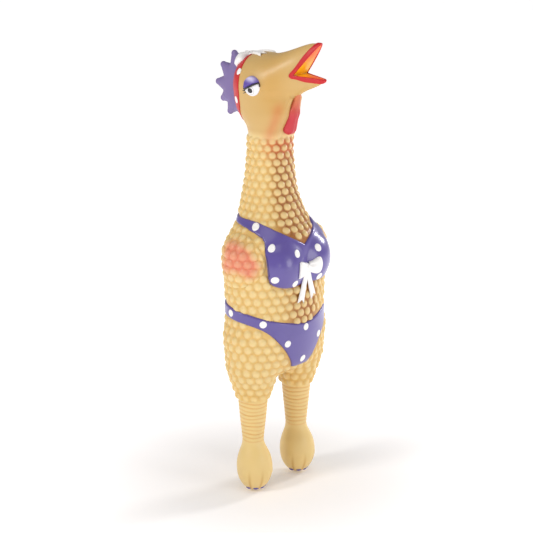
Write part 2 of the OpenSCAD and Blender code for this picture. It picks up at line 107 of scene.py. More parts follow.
# ---------------------------------------------------------------- curves and distances

def curve(*knots):
    """Smooth monotone curve through (place, value) pairs, level beyond its ends."""
    at, value = np.array(knots, float).T
    step = np.diff(at)
    slope = np.diff(value) / step
    same_way = slope[1:] * slope[:-1] > 0
    total = np.where(same_way, slope[1:] + slope[:-1], 1.0)
    inner = np.where(same_way, 2 * slope[1:] * slope[:-1] / total, 0.0)
    tangent = np.concatenate([[slope[0]], inner, [slope[-1]]])
    fine = np.linspace(at[0], at[-1], 1 + int(round((at[-1] - at[0]) * 2)))
    i = np.clip(np.searchsorted(at, fine, side="right") - 1, 0, len(step) - 1)
    t = (fine - at[i]) / step[i]
    smooth = (
        (1 + 2 * t) * (1 - t) ** 2 * value[i]
        + t * (1 - t) ** 2 * step[i] * tangent[i]
        + t * t * (3 - 2 * t) * value[i + 1]
        + t * t * (t - 1) * step[i] * tangent[i + 1]
    )
    return lambda x: np.interp(x, fine, smooth)


def ease(t):
    """Smooth step from 0 to 1."""
    t = np.clip(t, 0, 1)
    return t * t * (3 - 2 * t)


def soft_min(a, b, k):
    """Union of two distances, rounded over k."""
    h = np.clip(0.5 + 0.5 * (b - a) / k, 0, 1)
    return b + (a - b) * h - k * h * (1 - h)


def soft_max(a, b, k):
    """Overlap of two distances, rounded over k."""
    return -soft_min(-a, -b, k)


def oval(u, v, half_u, half_v):
    """Distance to an ellipse in the plane of u and v, true near its edge."""
    reach = np.sqrt((u / half_u) ** 2 + (v / half_v) ** 2) + 1e-6
    steep = np.sqrt((u / half_u**2) ** 2 + (v / half_v**2) ** 2) / reach + 1e-6
    return (reach - 1) / steep


def ball(x, y, z, middle_at, radii):
    """Distance to an ellipsoid, true near its surface."""
    u, v, w = x - middle_at[0], y - middle_at[1], z - middle_at[2]
    reach = np.sqrt((u / radii[0]) ** 2 + (v / radii[1]) ** 2 + (w / radii[2]) ** 2) + 1e-6
    steep = np.sqrt((u / radii[0] ** 2) ** 2 + (v / radii[1] ** 2) ** 2 + (w / radii[2] ** 2) ** 2)
    return (reach - 1) / (steep / reach + 1e-6)


def rod(x, y, z, a, b, ra, rb):
    """Distance to a rod with round ends whose radius goes from ra at a to rb at b."""
    ax = [b[i] - a[i] for i in range(3)]
    length2 = sum(c * c for c in ax)
    t = np.clip(((x - a[0]) * ax[0] + (y - a[1]) * ax[1] + (z - a[2]) * ax[2]) / length2, 0, 1)
    dx, dy, dz = x - a[0] - t * ax[0], y - a[1] - t * ax[1], z - a[2] - t * ax[2]
    return np.sqrt(dx * dx + dy * dy + dz * dz) - (ra + (rb - ra) * t)


# ---------------------------------------------------------------- the skin's shape

body_half_w = curve(
    (122, 8), (124, 22), (128, 38), (134, 49), (142, 56.5), (152, 60.5), (165, 62), (172, 60.5),
    (180, 58.3), (196, 58), (212, 58.5), (228, 59.5), (244, 60), (256, 60.3), (264, 57), (270, 51),
    (276, 44), (283, 37.5), (290, 33.3), (300, 29.2), (312, 26.2), (320, 24.8), (330, 23.7),
    (345, 22.4), (358, 21.3), (376, 21),
)
body_half_d = curve(
    (122, 5), (124, 14), (128, 24), (134, 31), (142, 36), (152, 38.5), (165, 40), (172, 40.5),
    (244, 40.5), (256, 40), (264, 39), (270, 37.5), (276, 35.5), (283, 33), (290, 31.3), (300, 29.5),
    (312, 26.4), (320, 24.9), (330, 23.7), (345, 22.4), (358, 21.3), (376, 21),
)
body_lean = curve(
    (256, 0), (270, 0.5), (276, 1.5), (283, 3), (290, 4.5), (300, 5.5), (312, 6.8), (376, 6.8),
)
leg_r = curve(
    (36, 11), (50, 11), (55, 11.1), (66, 12), (80, 13.5), (95, 14.9), (100, 15.3), (106, 17.6), (112, 19.4),
    (118, 21.4), (124, 23.3), (130, 25.2), (135, 26.3), (145, 25.5), (152, 23), (165, 17),
)
throat_front = curve(
    (356, -14.4), (366, -14.6), (374, -16.6), (384, -21), (394, -24.6), (404, -24.5), (412, -20),
)
throat_back = curve((356, 28), (366, 27.6), (374, 29.4), (384, 36), (394, 43.6), (404, 45), (412, 40))
throat_half_w = curve((356, 21.3), (366, 21), (374, 22.4), (384, 24.8), (394, 25.8), (404, 25), (412, 22))
muzzle_top = curve(
    (-66, 462.6), (-62, 464.4), (-58, 465.2), (-49, 464.6), (-41, 462.6), (-33, 459.8), (-24, 456.4),
    (-14, 453), (-4, 450.4), (7, 448), (20, 445),
)
muzzle_foot = curve(
    (-66, 430), (-62, 427.6), (-56, 424), (-49, 420.8), (-41, 417.3), (-33, 412.6), (-24, 406), (-14, 400),
    (-4, 398), (7, 398), (20, 402),
)
muzzle_half_w = curve(
    (-66, 2.4), (-63, 3.9), (-60, 4.9), (-56, 5.9), (-49, 7.5), (-41, 9.2), (-33, 11.2), (-24, 14.8),
    (-14, 19), (-4, 21.8), (7, 22.3), (20, 18),
)


def torso_shape(x, y, z):
    wall = oval(x, y - body_lean(z), body_half_w(z), body_half_d(z))
    return np.maximum(np.maximum(wall, 122 - z), z - 374)


TOES = (-80, -38, 0, 38, 80)


def foot_shape(x, y, z):
    """One foot about the middle of its leg: a mitten of toes that curl under."""
    heel = ball(x, y, z, (0, -2.2, 24.2), (18.3, 18.4, 24.0))
    upper = ball(x, y, z, (0, -0.8, 36), (13.8, 14.2, 17.5))
    shape = soft_min(heel, upper, 8)
    for angle in TOES:
        a = math.radians(angle)
        side, ahead = math.sin(a), -math.cos(a)
        toe = rod(
            x, y, z,
            (side * 11.2, ahead * 11.2 - 2.0, 22),
            (side * 7.4, ahead * 7.4 - 1.4, 7.6),
            7.2, 4.6,
        )
        shape = soft_min(shape, toe, 1.2)
    return soft_max(shape, 0.4 - z, 1.5)


def legs_shape(x, y, z):
    out = np.abs(x) - LEG_X
    shank = np.sqrt(out * out + y * y) - leg_r(z)
    shank = np.maximum(np.maximum(shank, 38 - z), z - 163)
    return soft_min(shank, foot_shape(out, y, z), 5)


def head_solid(x, y, z):
    """The head with its mouth still closed up."""
    front, back = throat_front(z), throat_back(z)
    throat = oval(x, y - (front + back) / 2, throat_half_w(z), (back - front) / 2)
    throat = np.maximum(np.maximum(throat, 358 - z), z - 412)
    cranium = ball(x, y, z, (0, 13.2, 417), (27, 35, 32.4))
    top, foot = muzzle_top(y), muzzle_foot(y)
    muzzle = oval(x, z - (top + foot) / 2, muzzle_half_w(y), (top - foot) / 2)
    muzzle = np.maximum(soft_max(muzzle, -65.5 - y, 3), y - 20)
    shape = soft_min(soft_min(throat, cranium, 6), muzzle, 6)
    fold = rod(np.abs(x), y, z, (7.2, -26.5, 408), (12.6, -10.6, 371), 1.6, 3.4)
    return soft_min(shape, fold, 5)


def mouth_gap(y, z):
    """Distance outside the open mouth in the side view, below nought in the gap."""
    ahead, up = MOUTH[1] - y, z - MOUTH[2]
    over_floor = up * math.cos(LOWER_SLOPE) - ahead * math.sin(LOWER_SLOPE)
    under_roof = ahead * math.sin(UPPER_SLOPE) - up * math.cos(UPPER_SLOPE)
    corner = np.hypot(ahead, up)
    along_floor = ahead * math.cos(LOWER_SLOPE) + up * math.sin(LOWER_SLOPE)
    along_roof = ahead * math.cos(UPPER_SLOPE) + up * math.sin(UPPER_SLOPE)
    to_floor = np.where(along_floor > 0, np.abs(over_floor), corner)
    to_roof = np.where(along_roof > 0, np.abs(under_roof), corner)
    inside = (over_floor > 0) & (under_roof > 0)
    return np.where(inside, -np.minimum(over_floor, under_roof), np.minimum(to_floor, to_roof))


def head_shape(x, y, z):
    return soft_max(head_solid(x, y, z), -mouth_gap(y, z), 1.4)


def body_shape(x, y, z):
    """The whole skin below the head, with the pocket for the squeaker."""
    shape = soft_min(torso_shape(x, y, z), legs_shape(x, y, z), 7)
    pocket = np.maximum(np.sqrt(x * x + y * y) - 9, z - (SQUEAKER_Z - 0.3))
    return soft_max(shape, -pocket, 2)


def skin_shape(x, y, z):
    return soft_min(body_shape(x, y, z), head_shape(x, y, z), 3)


# ---------------------------------------------------------------- meshing

def lines(low, high, step):
    """Grid lines a step apart, from low until high is passed."""
    return low + step * np.arange(int(math.ceil((high - low) / step)) + 1)


def sample(shape, points, chunk=400000):
    """Distances of points to a shape, worked out in chunks."""
    parts = [shape(*points[i:i + chunk].T) for i in range(0, len(points), chunk)]
    return np.concatenate(parts)


# Cells along one side of a block that is sampled once before the fine grid
BLOCK = 8


def grid_values(shape, axes):
    """Distances on the grid: exact near the surface, and only the right sign far from it."""
    sizes = [len(a) for a in axes]
    starts = [np.arange(0, n, BLOCK) for n in sizes]
    mids = [a[np.minimum(s + BLOCK // 2, n - 1)] for a, s, n in zip(axes, starts, sizes)]
    mesh = np.stack(np.meshgrid(*mids, indexing="ij"), -1).reshape(-1, 3)
    rough = sample(shape, mesh).reshape([len(m) for m in mids])
    span = max(np.diff(a).max() for a in axes) * BLOCK
    near = np.abs(rough) < span * 1.5
    index = np.ix_(*[np.arange(n) // BLOCK for n in sizes])
    values = rough[index].astype(np.float32)
    cells = np.argwhere(near[index])
    points = np.stack([axes[d][cells[:, d]] for d in range(3)], -1)
    values[tuple(cells.T)] = sample(shape, points)
    return values


def slope_of(shape, points, h=0.04):
    """Distance and its gradient at points."""
    grad = np.empty_like(points)
    for d in range(3):
        step = np.zeros(3)
        step[d] = h
        grad[:, d] = (sample(shape, points + step) - sample(shape, points - step)) / (2 * h)
    return sample(shape, points), grad


def settle(shape, points, rounds=3, most=1.0):
    """Moves points onto the surface and gives their outward normals."""
    for _ in range(rounds):
        value, grad = slope_of(shape, points)
        size2 = np.maximum((grad**2).sum(1), 1e-4)
        move = -grad * (value / size2)[:, None]
        far = np.maximum(np.linalg.norm(move, axis=1) / most, 1)
        points = points + move / far[:, None]
    grad = slope_of(shape, points)[1]
    return points, grad / np.maximum(np.linalg.norm(grad, axis=1), 1e-6)[:, None]


def net(shape, axes, relax=2):
    """Closed quads over the surface of a shape, by surface nets on a grid of lines."""
    values = grid_values(shape, axes)
    inside = values < 0
    count = np.zeros([n - 1 for n in inside.shape], np.int8)
    corners = [(a, b, c) for a in (0, 1) for b in (0, 1) for c in (0, 1)]
    for a, b, c in corners:
        nx, ny, nz = count.shape
        count += inside[a:a + nx, b:b + ny, c:c + nz]
    mixed = (count > 0) & (count < 8)
    ids = np.full(mixed.shape, -1, np.int64)
    cell = np.argwhere(mixed)
    ids[mixed] = np.arange(len(cell))
    place = {k: np.stack([axes[d][cell[:, d] + k[d]] for d in range(3)], -1) for k in corners}
    value = {k: values[cell[:, 0] + k[0], cell[:, 1] + k[1], cell[:, 2] + k[2]] for k in corners}
    total = np.zeros((len(cell), 3))
    weight = np.zeros(len(cell))
    for k in corners:
        for d in range(3):
            if k[d] == 0:
                other = tuple(k[e] + (e == d) for e in range(3))
                a, b = value[k], value[other]
                cross = (a < 0) != (b < 0)
                t = np.where(cross, a / np.where(cross, a - b, 1), 0)
                total += np.where(cross[:, None], place[k] + t[:, None] * (place[other] - place[k]), 0)
                weight += cross
    points = total / weight[:, None]
    quads = []
    for d in range(3):
        e, f = [(1, 2), (2, 0), (0, 1)][d]
        low = [slice(None)] * 3
        high = [slice(None)] * 3
        low[d], high[d] = slice(0, -1), slice(1, None)
        first, second = inside[tuple(low)], inside[tuple(high)]
        edge = np.argwhere(first != second)
        edge = edge[(edge[:, e] > 0) & (edge[:, f] > 0)]
        edge = edge[(edge[:, e] < mixed.shape[e]) & (edge[:, f] < mixed.shape[f])]
        around = []
        for back_e, back_f in ((1, 1), (0, 1), (0, 0), (1, 0)):
            at = edge.copy()
            at[:, e] -= back_e
            at[:, f] -= back_f
            around.append(ids[tuple(at.T)])
        quad = np.stack(around, 1)
        outward = first[tuple(edge.T)]
        quads.append(np.where(outward[:, None], quad, quad[:, ::-1]))
    quads = np.concatenate(quads)
    points, normals = settle(shape, points, 2)
    ends = np.concatenate([quads[:, [0, 1]], quads[:, [1, 2]], quads[:, [2, 3]], quads[:, [3, 0]]])
    for _ in range(relax):
        summed = np.stack([
            np.bincount(ends[:, 0], points[ends[:, 1], d], len(points))
            + np.bincount(ends[:, 1], points[ends[:, 0], d], len(points)) for d in range(3)
        ], -1)
        number = np.bincount(ends.ravel(), minlength=len(points))
        moved = summed / number[:, None]
        points, normals = settle(shape, points + 0.6 * (moved - points), 2)
    return points, quads, normals


def shape_mesh(shape, low, high, cell):
    """Net of a shape in a box, with the same step each way."""
    return net(shape, [lines(low[d], high[d], cell) for d in range(3)])


def vertex_normals(points, quads):
    a, b, c, d = (points[quads[:, i]] for i in range(4))
    face = np.cross(c - a, d - b)
    total = np.stack([
        sum(np.bincount(quads[:, i], face[:, k], len(points)) for i in range(4)) for k in range(3)
    ], -1)
    return total / np.maximum(np.linalg.norm(total, axis=1), 1e-9)[:, None]


# ---------------------------------------------------------------- making Blender objects

def make_object(name, points, faces, finish, masks=None, normals=None):
    """Object from points in the body's millimetres, with masks stored for its material."""
    mesh = bpy.data.meshes.new(name)
    mesh.from_pydata(to_frame(points).tolist(), [], [list(map(int, f)) for f in faces])
    mesh.polygons.foreach_set("use_smooth", [True] * len(mesh.polygons))
    for key, values in (masks or {}).items():
        layer = mesh.attributes.new(key, "FLOAT", "POINT")
        layer.data.foreach_set("value", np.asarray(values, np.float32))
    mesh.materials.append(finish)
    mesh.update()
    if normals is not None:
        mesh.normals_split_custom_set_from_vertices(normals.tolist())
    obj = bpy.data.objects.new(name, mesh)
    bpy.context.scene.collection.objects.link(obj)
    return obj


def part_of(points, quads, chosen):
    """The chosen quads as a closed mesh: rims are filled with a fan about their middle."""
    quads = quads[chosen]
    used, flat = np.unique(quads, return_inverse=True)
    quads = flat.reshape(quads.shape)
    ends = np.concatenate([quads[:, [0, 1]], quads[:, [1, 2]], quads[:, [2, 3]], quads[:, [3, 0]]])
    size = len(used)
    key = ends[:, 0] * size + ends[:, 1]
    back = ends[:, 1] * size + ends[:, 0]
    rim = ends[~np.isin(key, back)]
    after = {}
    for a, b in rim:
        after.setdefault(int(a), []).append(int(b))
    faces = quads.tolist()
    centres = []
    while after:
        start = next(iter(after))
        loop = [start]
        here = start
        while True:
            here_next = after[here].pop()
            if not after[here]:
                del after[here]
            if here_next == start:
                break
            loop.append(here_next)
            here = here_next
        hub = size + len(centres)
        centres.append(points[used[loop]].mean(0))
        faces += [[loop[(i + 1) % len(loop)], loop[i], hub] for i in range(len(loop))]
    return used, faces, np.array(centres).reshape(-1, 3)


def skin_piece(name, whole, chosen, finish):
    """Piece of the whole skin, which keeps the whole skin's normals and masks."""
    used, faces, centres = part_of(whole["points"], whole["quads"], chosen)
    points = np.concatenate([whole["points"][used], centres])
    extra = len(centres)
    normals = np.concatenate([whole["normals"][used], np.tile([0.0, 0.0, 1.0], (extra, 1))])
    masks = {k: np.concatenate([v[used], np.zeros(extra)]) for k, v in whole["masks"].items()}
    return make_object(name, points, faces, finish, masks, normals)


def sheet_faces(cols, rows, around=False):
    """Faces of a closed layer between two sheets of points, outer first.

    With around, the columns run right round and join up.
    """
    across = cols if around else cols + 1
    size = across * (rows + 1)

    def at(i, j, inner):
        return inner * size + j * across + i % across

    faces = []
    for j in range(rows):
        for i in range(cols):
            faces.append([at(i, j, 0), at(i + 1, j, 0), at(i + 1, j + 1, 0), at(i, j + 1, 0)])
            faces.append([at(i, j, 1), at(i, j + 1, 1), at(i + 1, j + 1, 1), at(i + 1, j, 1)])
    for i in range(cols):
        faces.append([at(i, 0, 1), at(i + 1, 0, 1), at(i + 1, 0, 0), at(i, 0, 0)])
        faces.append([at(i, rows, 0), at(i + 1, rows, 0), at(i + 1, rows, 1), at(i, rows, 1)])
    if not around:
        for j in range(rows):
            faces.append([at(0, j, 1), at(0, j, 0), at(0, j + 1, 0), at(0, j + 1, 1)])
            faces.append([at(cols, j, 0), at(cols, j, 1), at(cols, j + 1, 1), at(cols, j + 1, 0)])
    return faces


def disc_faces(rings, spokes):
    """Faces of a closed lens of two sheets, outer first: each is a middle point and the rings round it."""
    size = 1 + rings * spokes
    faces = []
    for i in range(spokes):
        j = (i + 1) % spokes
        faces += [[0, 1 + i, 1 + j], [size, size + 1 + j, size + 1 + i]]
        for r in range(rings - 1):
            p, q = 1 + r * spokes + i, 1 + r * spokes + j
            faces.append([p, p + spokes, q + spokes, q])
            faces.append([size + p, size + q, size + q + spokes, size + p + spokes])
        p, q = 1 + (rings - 1) * spokes + i, 1 + (rings - 1) * spokes + j
        faces.append([p, size + p, size + q, q])
    return faces


def joined(parts):
    """Several (points, faces) lists as one, for groups of equal small pieces."""
    points, faces, base = [], [], 0
    for some_points, some_faces in parts:
        points.append(some_points)
        faces += [[v + base for v in f] for f in some_faces]
        base += len(some_points)
    return np.concatenate(points), faces


def mirrored(points, faces):
    """The same piece on the chicken's other side."""
    return points * [-1, 1, 1], [f[::-1] for f in faces]


# ---------------------------------------------------------------- places on the skin

def radial_hit(shape, origin, aim, nearest=2.0, furthest=85.0, halvings=26):
    """Distance from origin along aim to the surface, for many rays at once."""
    low = np.full(len(aim), nearest)
    high = np.full(len(aim), furthest)
    for _ in range(halvings):
        mid = (low + high) / 2
        out = shape(*(origin + aim * mid[:, None]).T) > 0
        high = np.where(out, mid, high)
        low = np.where(out, low, mid)
    return (low + high) / 2


def on_body(a, z, rise):
    """Points of the body's skin at angles a from the front (degrees) and heights z, raised by rise."""
    a, z, rise = (np.asarray(v, float).ravel() for v in np.broadcast_arrays(a, z, rise))
    aim = np.stack([
        body_half_w(z) * np.sin(np.radians(a)), -body_half_d(z) * np.cos(np.radians(a)), np.zeros(len(a))
    ], -1)
    aim /= np.linalg.norm(aim, axis=1)[:, None]
    origin = np.stack([np.zeros(len(a)), body_lean(z), z], -1)
    points = origin + aim * radial_hit(body_shape, origin, aim)[:, None]
    grad = slope_of(body_shape, points)[1]
    grad /= np.linalg.norm(grad, axis=1)[:, None]
    return points + grad * rise[:, None]


def patch(shape, centre, across, up, outline, rise, sink=0.6, rings=8, spokes=40):
    """Closed lens on a surface.

    outline gives its (u, v) rim for angles, in millimetres along across and up; rise gives the height
    for shares s of the way to the rim and those angles.
    """
    turn = np.linspace(0, 2 * math.pi, spokes, endpoint=False)
    rim = np.stack(outline(turn), -1)
    share = np.concatenate([[0.0], np.sqrt(np.linspace(0.04, 1, rings))])
    flat, height = [], []
    for s in share[1:]:
        flat.append(rim * s)
        height.append(rise(np.full(spokes, s), turn))
    flat = np.concatenate([[[0.0, 0.0]]] + flat)
    height = np.concatenate([rise(np.zeros(1), np.zeros(1))] + height)
    start = np.asarray(centre, float) + flat[:, :1] * np.asarray(across) + flat[:, 1:] * np.asarray(up)
    base, normal = settle(shape, start, 5, most=4.0)
    outer = base + normal * height[:, None]
    inner = base - normal * sink
    return np.concatenate([outer, inner]), disc_faces(rings, spokes)


def dome(height, edge, power):
    """Rise for patch: height in the middle, edge at the rim."""
    return lambda s, turn: edge + (height - edge) * (1 - s**2) ** power


def circle_of(radius, stretch=1.0):
    """Outline for patch: a circle, stretched across."""
    return lambda turn: (radius * stretch * np.cos(turn), radius * np.sin(turn))


# ---------------------------------------------------------------- nubs

NUB_HEIGHT = 2.25
# Radius of a nub as a share of the pitch
NUB_SHARE = 0.48
# Roughly how far the valleys' shade is moved off the nubs, in millimetres
SHADE_LEAN = 1.5
nub_pitch = curve((99, 8.4), (125, 9.2), (150, 9.7), (230, 9.4), (262, 9.0), (300, 8.7), (366, 8.3))
# Angle from the front where rows of nubs start; they meet on the side that the photo doesn't show
CAMERA_SIDE = -40


def tree_of(points):
    tree = KDTree(len(points))
    for i, p in enumerate(points):
        tree.insert(p, i)
    tree.balance()
    return tree


def gaps_to(places, points):
    """Distance from each point to the nearest of the places."""
    tree = tree_of(places)
    return np.array([tree.find(p)[2] for p in points])


def nub_bell(share):
    """Profile of a nub for shares of the way from its middle to its rim."""
    return (1 - np.clip(share, 0, 1) ** 2) ** 0.85


def outline_at(z, centre_x, aim_from):
    """Closed outline of the skin at height z about a middle, from an angle on, and its running length."""
    turn = np.radians(aim_from + np.linspace(0, 360, 481))
    aim = np.stack([np.sin(turn), -np.cos(turn), np.zeros_like(turn)], -1)
    origin = np.array([centre_x, float(body_lean(z)), z])
    points = origin + aim * radial_hit(skin_shape, origin, aim)[:, None]
    run = np.concatenate([[0], np.cumsum(np.linalg.norm(np.diff(points, axis=0), axis=1))])
    return points, run


def row_of_nubs(z, centre_x, odd):
    """Middles of the nubs in one row; odd rows are moved along by half a pitch."""
    points, run = outline_at(z, centre_x, CAMERA_SIDE)
    pitch = float(nub_pitch(z))
    half = run[-1] / 2
    start = 0.5 if odd else 0.0
    steps = np.arange(start, half / pitch - 0.3, 1.0)
    along = np.concatenate([steps * pitch, run[-1] - steps[steps > 0] * pitch])
    return np.stack([np.interp(along, run, points[:, d]) for d in range(3)], -1)


def nub_rows(low, high, centre_x):
    """Rows of nubs between two heights, as far apart along the slope as hexagonal packing has them."""
    rows, z, odd = [], high, False
    while z > low:
        rows.append(row_of_nubs(z, centre_x, odd))
        odd = not odd
        step = 0.87 * float(nub_pitch(z))
        here = float(body_half_w(z) + body_half_d(z)) / 2
        lower = float(body_half_w(z - 2) + body_half_d(z - 2)) / 2
        slope = (lower - here) / 2 if z > 165 else 0.0
        z -= step / math.sqrt(1 + slope**2)
    return np.concatenate(rows), z


# Edges of the bikini: angle from the front in degrees, height in millimetres
TOP_LOW = np.array([
    (0, 225), (4, 223.6), (8, 222.5), (17, 221.3), (27, 221.8), (34, 223.5), (40, 226), (43.5, 229),
    (45, 234), (46, 244), (47, 255), (49, 264), (52, 269), (57, 272.6), (71, 276.6), (90, 279.6),
    (106, 280.8), (180, 281.2),
], float).T
TOP_HIGH = np.array([
    (0, 263), (8, 267.5), (16, 271), (31, 276.5), (49, 281.5), (70, 286), (88, 287.2), (180, 287.2),
], float).T
BRIEF_HIGH = np.array([
    (0, 181.5), (14, 183.3), (30, 186.6), (50, 191.4), (70, 196.3), (103, 201), (180, 203),
], float).T


def top_low(a):
    return np.interp(a, *TOP_LOW)


def top_high(a):
    return np.interp(a, *TOP_HIGH)


def brief_high(a):
    return np.interp(a, *BRIEF_HIGH)


def brief_low(a):
    """Lower edge of the bikini bottom: cut away over the thighs, full over the rump."""
    front = np.maximum(135, 190 - 51 * np.exp((14 - np.minimum(a, 135)) / 24))
    rump = 189.6 - 54 * np.sin(np.radians(np.clip((a - 135) * 2, 0, 90))) ** 0.9
    return np.where(a < 135, front, rump)


def angle_of(points):
    """Angles of points from the front, in degrees, the same on both sides."""
    z = points[:, 2]
    return np.degrees(np.arctan2(
        np.abs(points[:, 0]) / body_half_w(z), -(points[:, 1] - body_lean(z)) / body_half_d(z)
    ))


# Heights of the back strap's edges, and the wing's middle and half size
STRAP = (232, 240)
WING = {"a": 93, "z": 248.5, "half_a": 46, "half_z": 27}


def clear_of_bikini(points, room):
    """True where a point of the skin is further than room from under the bikini."""
    z = points[:, 2]
    a = angle_of(points)
    side = np.degrees(room / 50)
    clear = np.ones(len(points), bool)
    for shift in (-side, 0, side):
        b = np.clip(a + shift, 0, 180)
        clear &= (z < top_low(b) - room) | (z > top_high(b) + room)
        clear &= (z < brief_low(b) - room) | (z > brief_high(b) + room)
    back = (a > 125) & (z > STRAP[0] - room) & (z < STRAP[1] + room)
    wing = np.hypot((a - WING["a"]) / WING["half_a"], (z - WING["z"]) / WING["half_z"]) * WING["half_z"]
    return clear & ~back & (wing > WING["half_z"] - 1.5 + room)


def nub_middles(rng):
    """Middles of all nubs of the skin, without those that would sit too close together."""
    body_rows, next_row = nub_rows(CROTCH_Z, 364.5, 0.0)
    rows = [body_rows]
    for side in (-1, 1):
        rows.append(nub_rows(102, next_row + 1.5, side * LEG_X)[0])
    spots = np.concatenate(rows)
    spots = spots + rng.normal(0, 0.22, spots.shape)
    spots, _ = settle(skin_shape, spots)
    inner = np.abs(spots[:, 0]) < 12
    low_middle = inner & (spots[:, 2] < 127) & (np.abs(spots[:, 1]) < 14)
    spots = spots[~low_middle & clear_of_bikini(spots, 0.5)]
    tree = tree_of(spots)
    kept = []
    dropped = set()
    for i, s in enumerate(spots):
        close = 0.72 * float(nub_pitch(s[2]))
        if any(j < i and j not in dropped for _, j, _ in tree.find_range(s, close)):
            dropped.add(i)
        else:
            kept.append(i)
    return spots[kept]


def nub_field(points, spots):
    """Height of the nubs at points, as a share of a whole nub."""
    return nub_bell(gaps_to(spots, points) / (NUB_SHARE * nub_pitch(points[:, 2])))


# ---------------------------------------------------------------- the whole skin

RING_PITCH = 4.2


def shank_grooves(points):
    """Depth of the grooves round the shanks, which sag a little and differ in depth."""
    z = points[:, 2]
    out = np.abs(points[:, 0]) - LEG_X
    around = np.arctan2(out, -points[:, 1])
    level = z + 0.7 * np.cos(around) + 0.35 * np.sin(3 * around + z * 0.2)
    place = (level - 60) / RING_PITCH
    gap = np.abs(place - np.round(place)) * RING_PITCH
    number = np.round(place)
    uneven = 0.8 + 0.2 * np.sin(number * 2.4)
    groove = np.exp(-((gap / 0.62) ** 2)) * uneven
    span = ease((z - 53) / 3) * ease((101 - z) / 3)
    return groove * span


def build_skin(rng):
    """The whole skin with nubs and rings in its surface, and the masks that colour it."""
    z_low = lines(-2.0, 56.0, CELL)
    z_legs = lines(z_low[-1] + FINE, 100.0, FINE)
    z_high = lines(z_legs[-1] + CELL, 470.0, CELL)
    axes = [lines(-68.0, 68.0, CELL), lines(-69.0, 56.0, CELL), np.concatenate([z_low, z_legs, z_high])]
    points, quads, normals = net(skin_shape, axes)
    z = points[:, 2]
    covered = (z > 98) & (z < 368)
    height = np.zeros(len(points))
    spots = nub_middles(rng)
    height[covered] = NUB_HEIGHT * nub_field(points[covered], spots)
    height *= clear_of_bikini(points, -0.5)
    # Painted shade: the valleys are sampled a little forwards and down, so each nub gets a shaded crescent on
    # its lower front side
    below = points[covered] + np.stack([
        -0.6 * np.tanh(points[covered, 0] / 15), np.full(covered.sum(), -0.67), np.full(covered.sum(), -0.45)
    ], -1) * SHADE_LEAN
    shaded = np.zeros(len(points))
    shaded[covered] = nub_field(below, spots)
    grooves = np.where((z > 51) & (z < 103), shank_grooves(points), 0.0)
    points = points + normals * (height - 0.75 * grooves)[:, None]
    # front weights the painted shade: strongest at the front of the body, weaker low down
    turn = np.degrees(np.arctan2(points[:, 0], body_lean(z) - points[:, 1]))
    reach = 54 + 14 * ease((z - 235) / 60)
    front = ease((reach - np.abs(turn)) / 42) * (0.5 + 0.5 * ease((z - 130) / 50))
    nubbed = ease((z - 99) / 4) * ease((368 - z) / 3)
    valley_shade = (1 - ease(shaded / 0.8)) * nubbed
    hollow = (1 - ease(shaded / 0.55)) * nubbed
    masks = {
        # valley_shade is painted shade between the nubs, stronger towards the front; its warm tint is partly
        # the toy's own airbrush
        "valley_shade": valley_shade * (0.7 + 0.3 * front),
        # Painted dark-brown shade in the hollows between nubs and lightly over them, at the front of the body
        "front_hollow_shade": np.clip(hollow + 0.13, 0, 1) * nubbed * front**1.7,
        # Painted shade in the grooves round the shanks
        "crease": grooves,
        "head": ease((z - 366) / 10),
        "leg": ease((126 - z) / 30),
        "flush_and_chin_shade": flush_of(points, valley_shade),
        # Painted shade between the toes, with the cheek's tan airbrush in the same mask
        "toe": np.clip(toe_shade(points) + cheek_of(points), 0, 1),
    }
    return {"points": points, "quads": quads, "normals": vertex_normals(points, quads), "masks": masks}


def flush_of(points, valley_shade):
    """Airbrushed orange beside the wattle, and painted shade under the chin in the valleys between the nubs
    at the top of the neck.
    """
    x, y, z = points.T
    beside = np.exp(-(((np.abs(x) - 15) / 4.5) ** 2 + ((y + 11 + (z - 385) * 0.4) / 7) ** 2))
    beside = beside * ease((z - 360) / 10) * ease((410 - z) / 14)
    # Painted shade under the chin, mostly in the valleys between the nubs
    under = np.exp(-((z - 360) / 12) ** 2) * ease((6 - y) / 18) * (0.18 + valley_shade)
    return np.clip(beside + under, 0, 1)


def cheek_of(points):
    """Tan airbrush over the cheek, between the eye and the mouth."""
    x, y, z = points.T
    return 0.75 * np.exp(-(((y + 13) / 14) ** 2 + ((z - 420) / 30) ** 2)) * ease((z - 380) / 20)


def toe_shade(points):
    """Painted shade in the grooves between the toes, low on the feet."""
    x, y, z = points.T
    out = np.abs(x) - LEG_X
    around = np.degrees(np.arctan2(out, -y))
    reach = np.hypot(out, y)
    groove = sum(np.exp(-((around - g) / 4.0) ** 2) for g in (-59, -19, 19, 59))
    groove = groove * ease((30 - z) / 22) * ease((reach - 8) / 4)
    return np.clip(groove, 0, 1) * (z < 40)


# ---------------------------------------------------------------- bikini, wings and bows

CLOTH_T = 1.7
DOT_R = 3.65


def cup_rise(a, z):
    """How far the cups stand out from the cloth."""
    return 8.6 * np.clip(1 - ((a - 26) / 27) ** 2 - ((z - 243) / 26) ** 2, 0, None) ** 1.3


def rounded_rise(points_on_skin, rim, thick):
    """Thickness that rounds over to nothing at the rim of a raised layer."""
    t = np.clip(gaps_to(rim, points_on_skin) / (thick * 1.1), 0, 1)
    return thick * np.sqrt(np.clip(1 - (1 - t) ** 2, 0, 1))


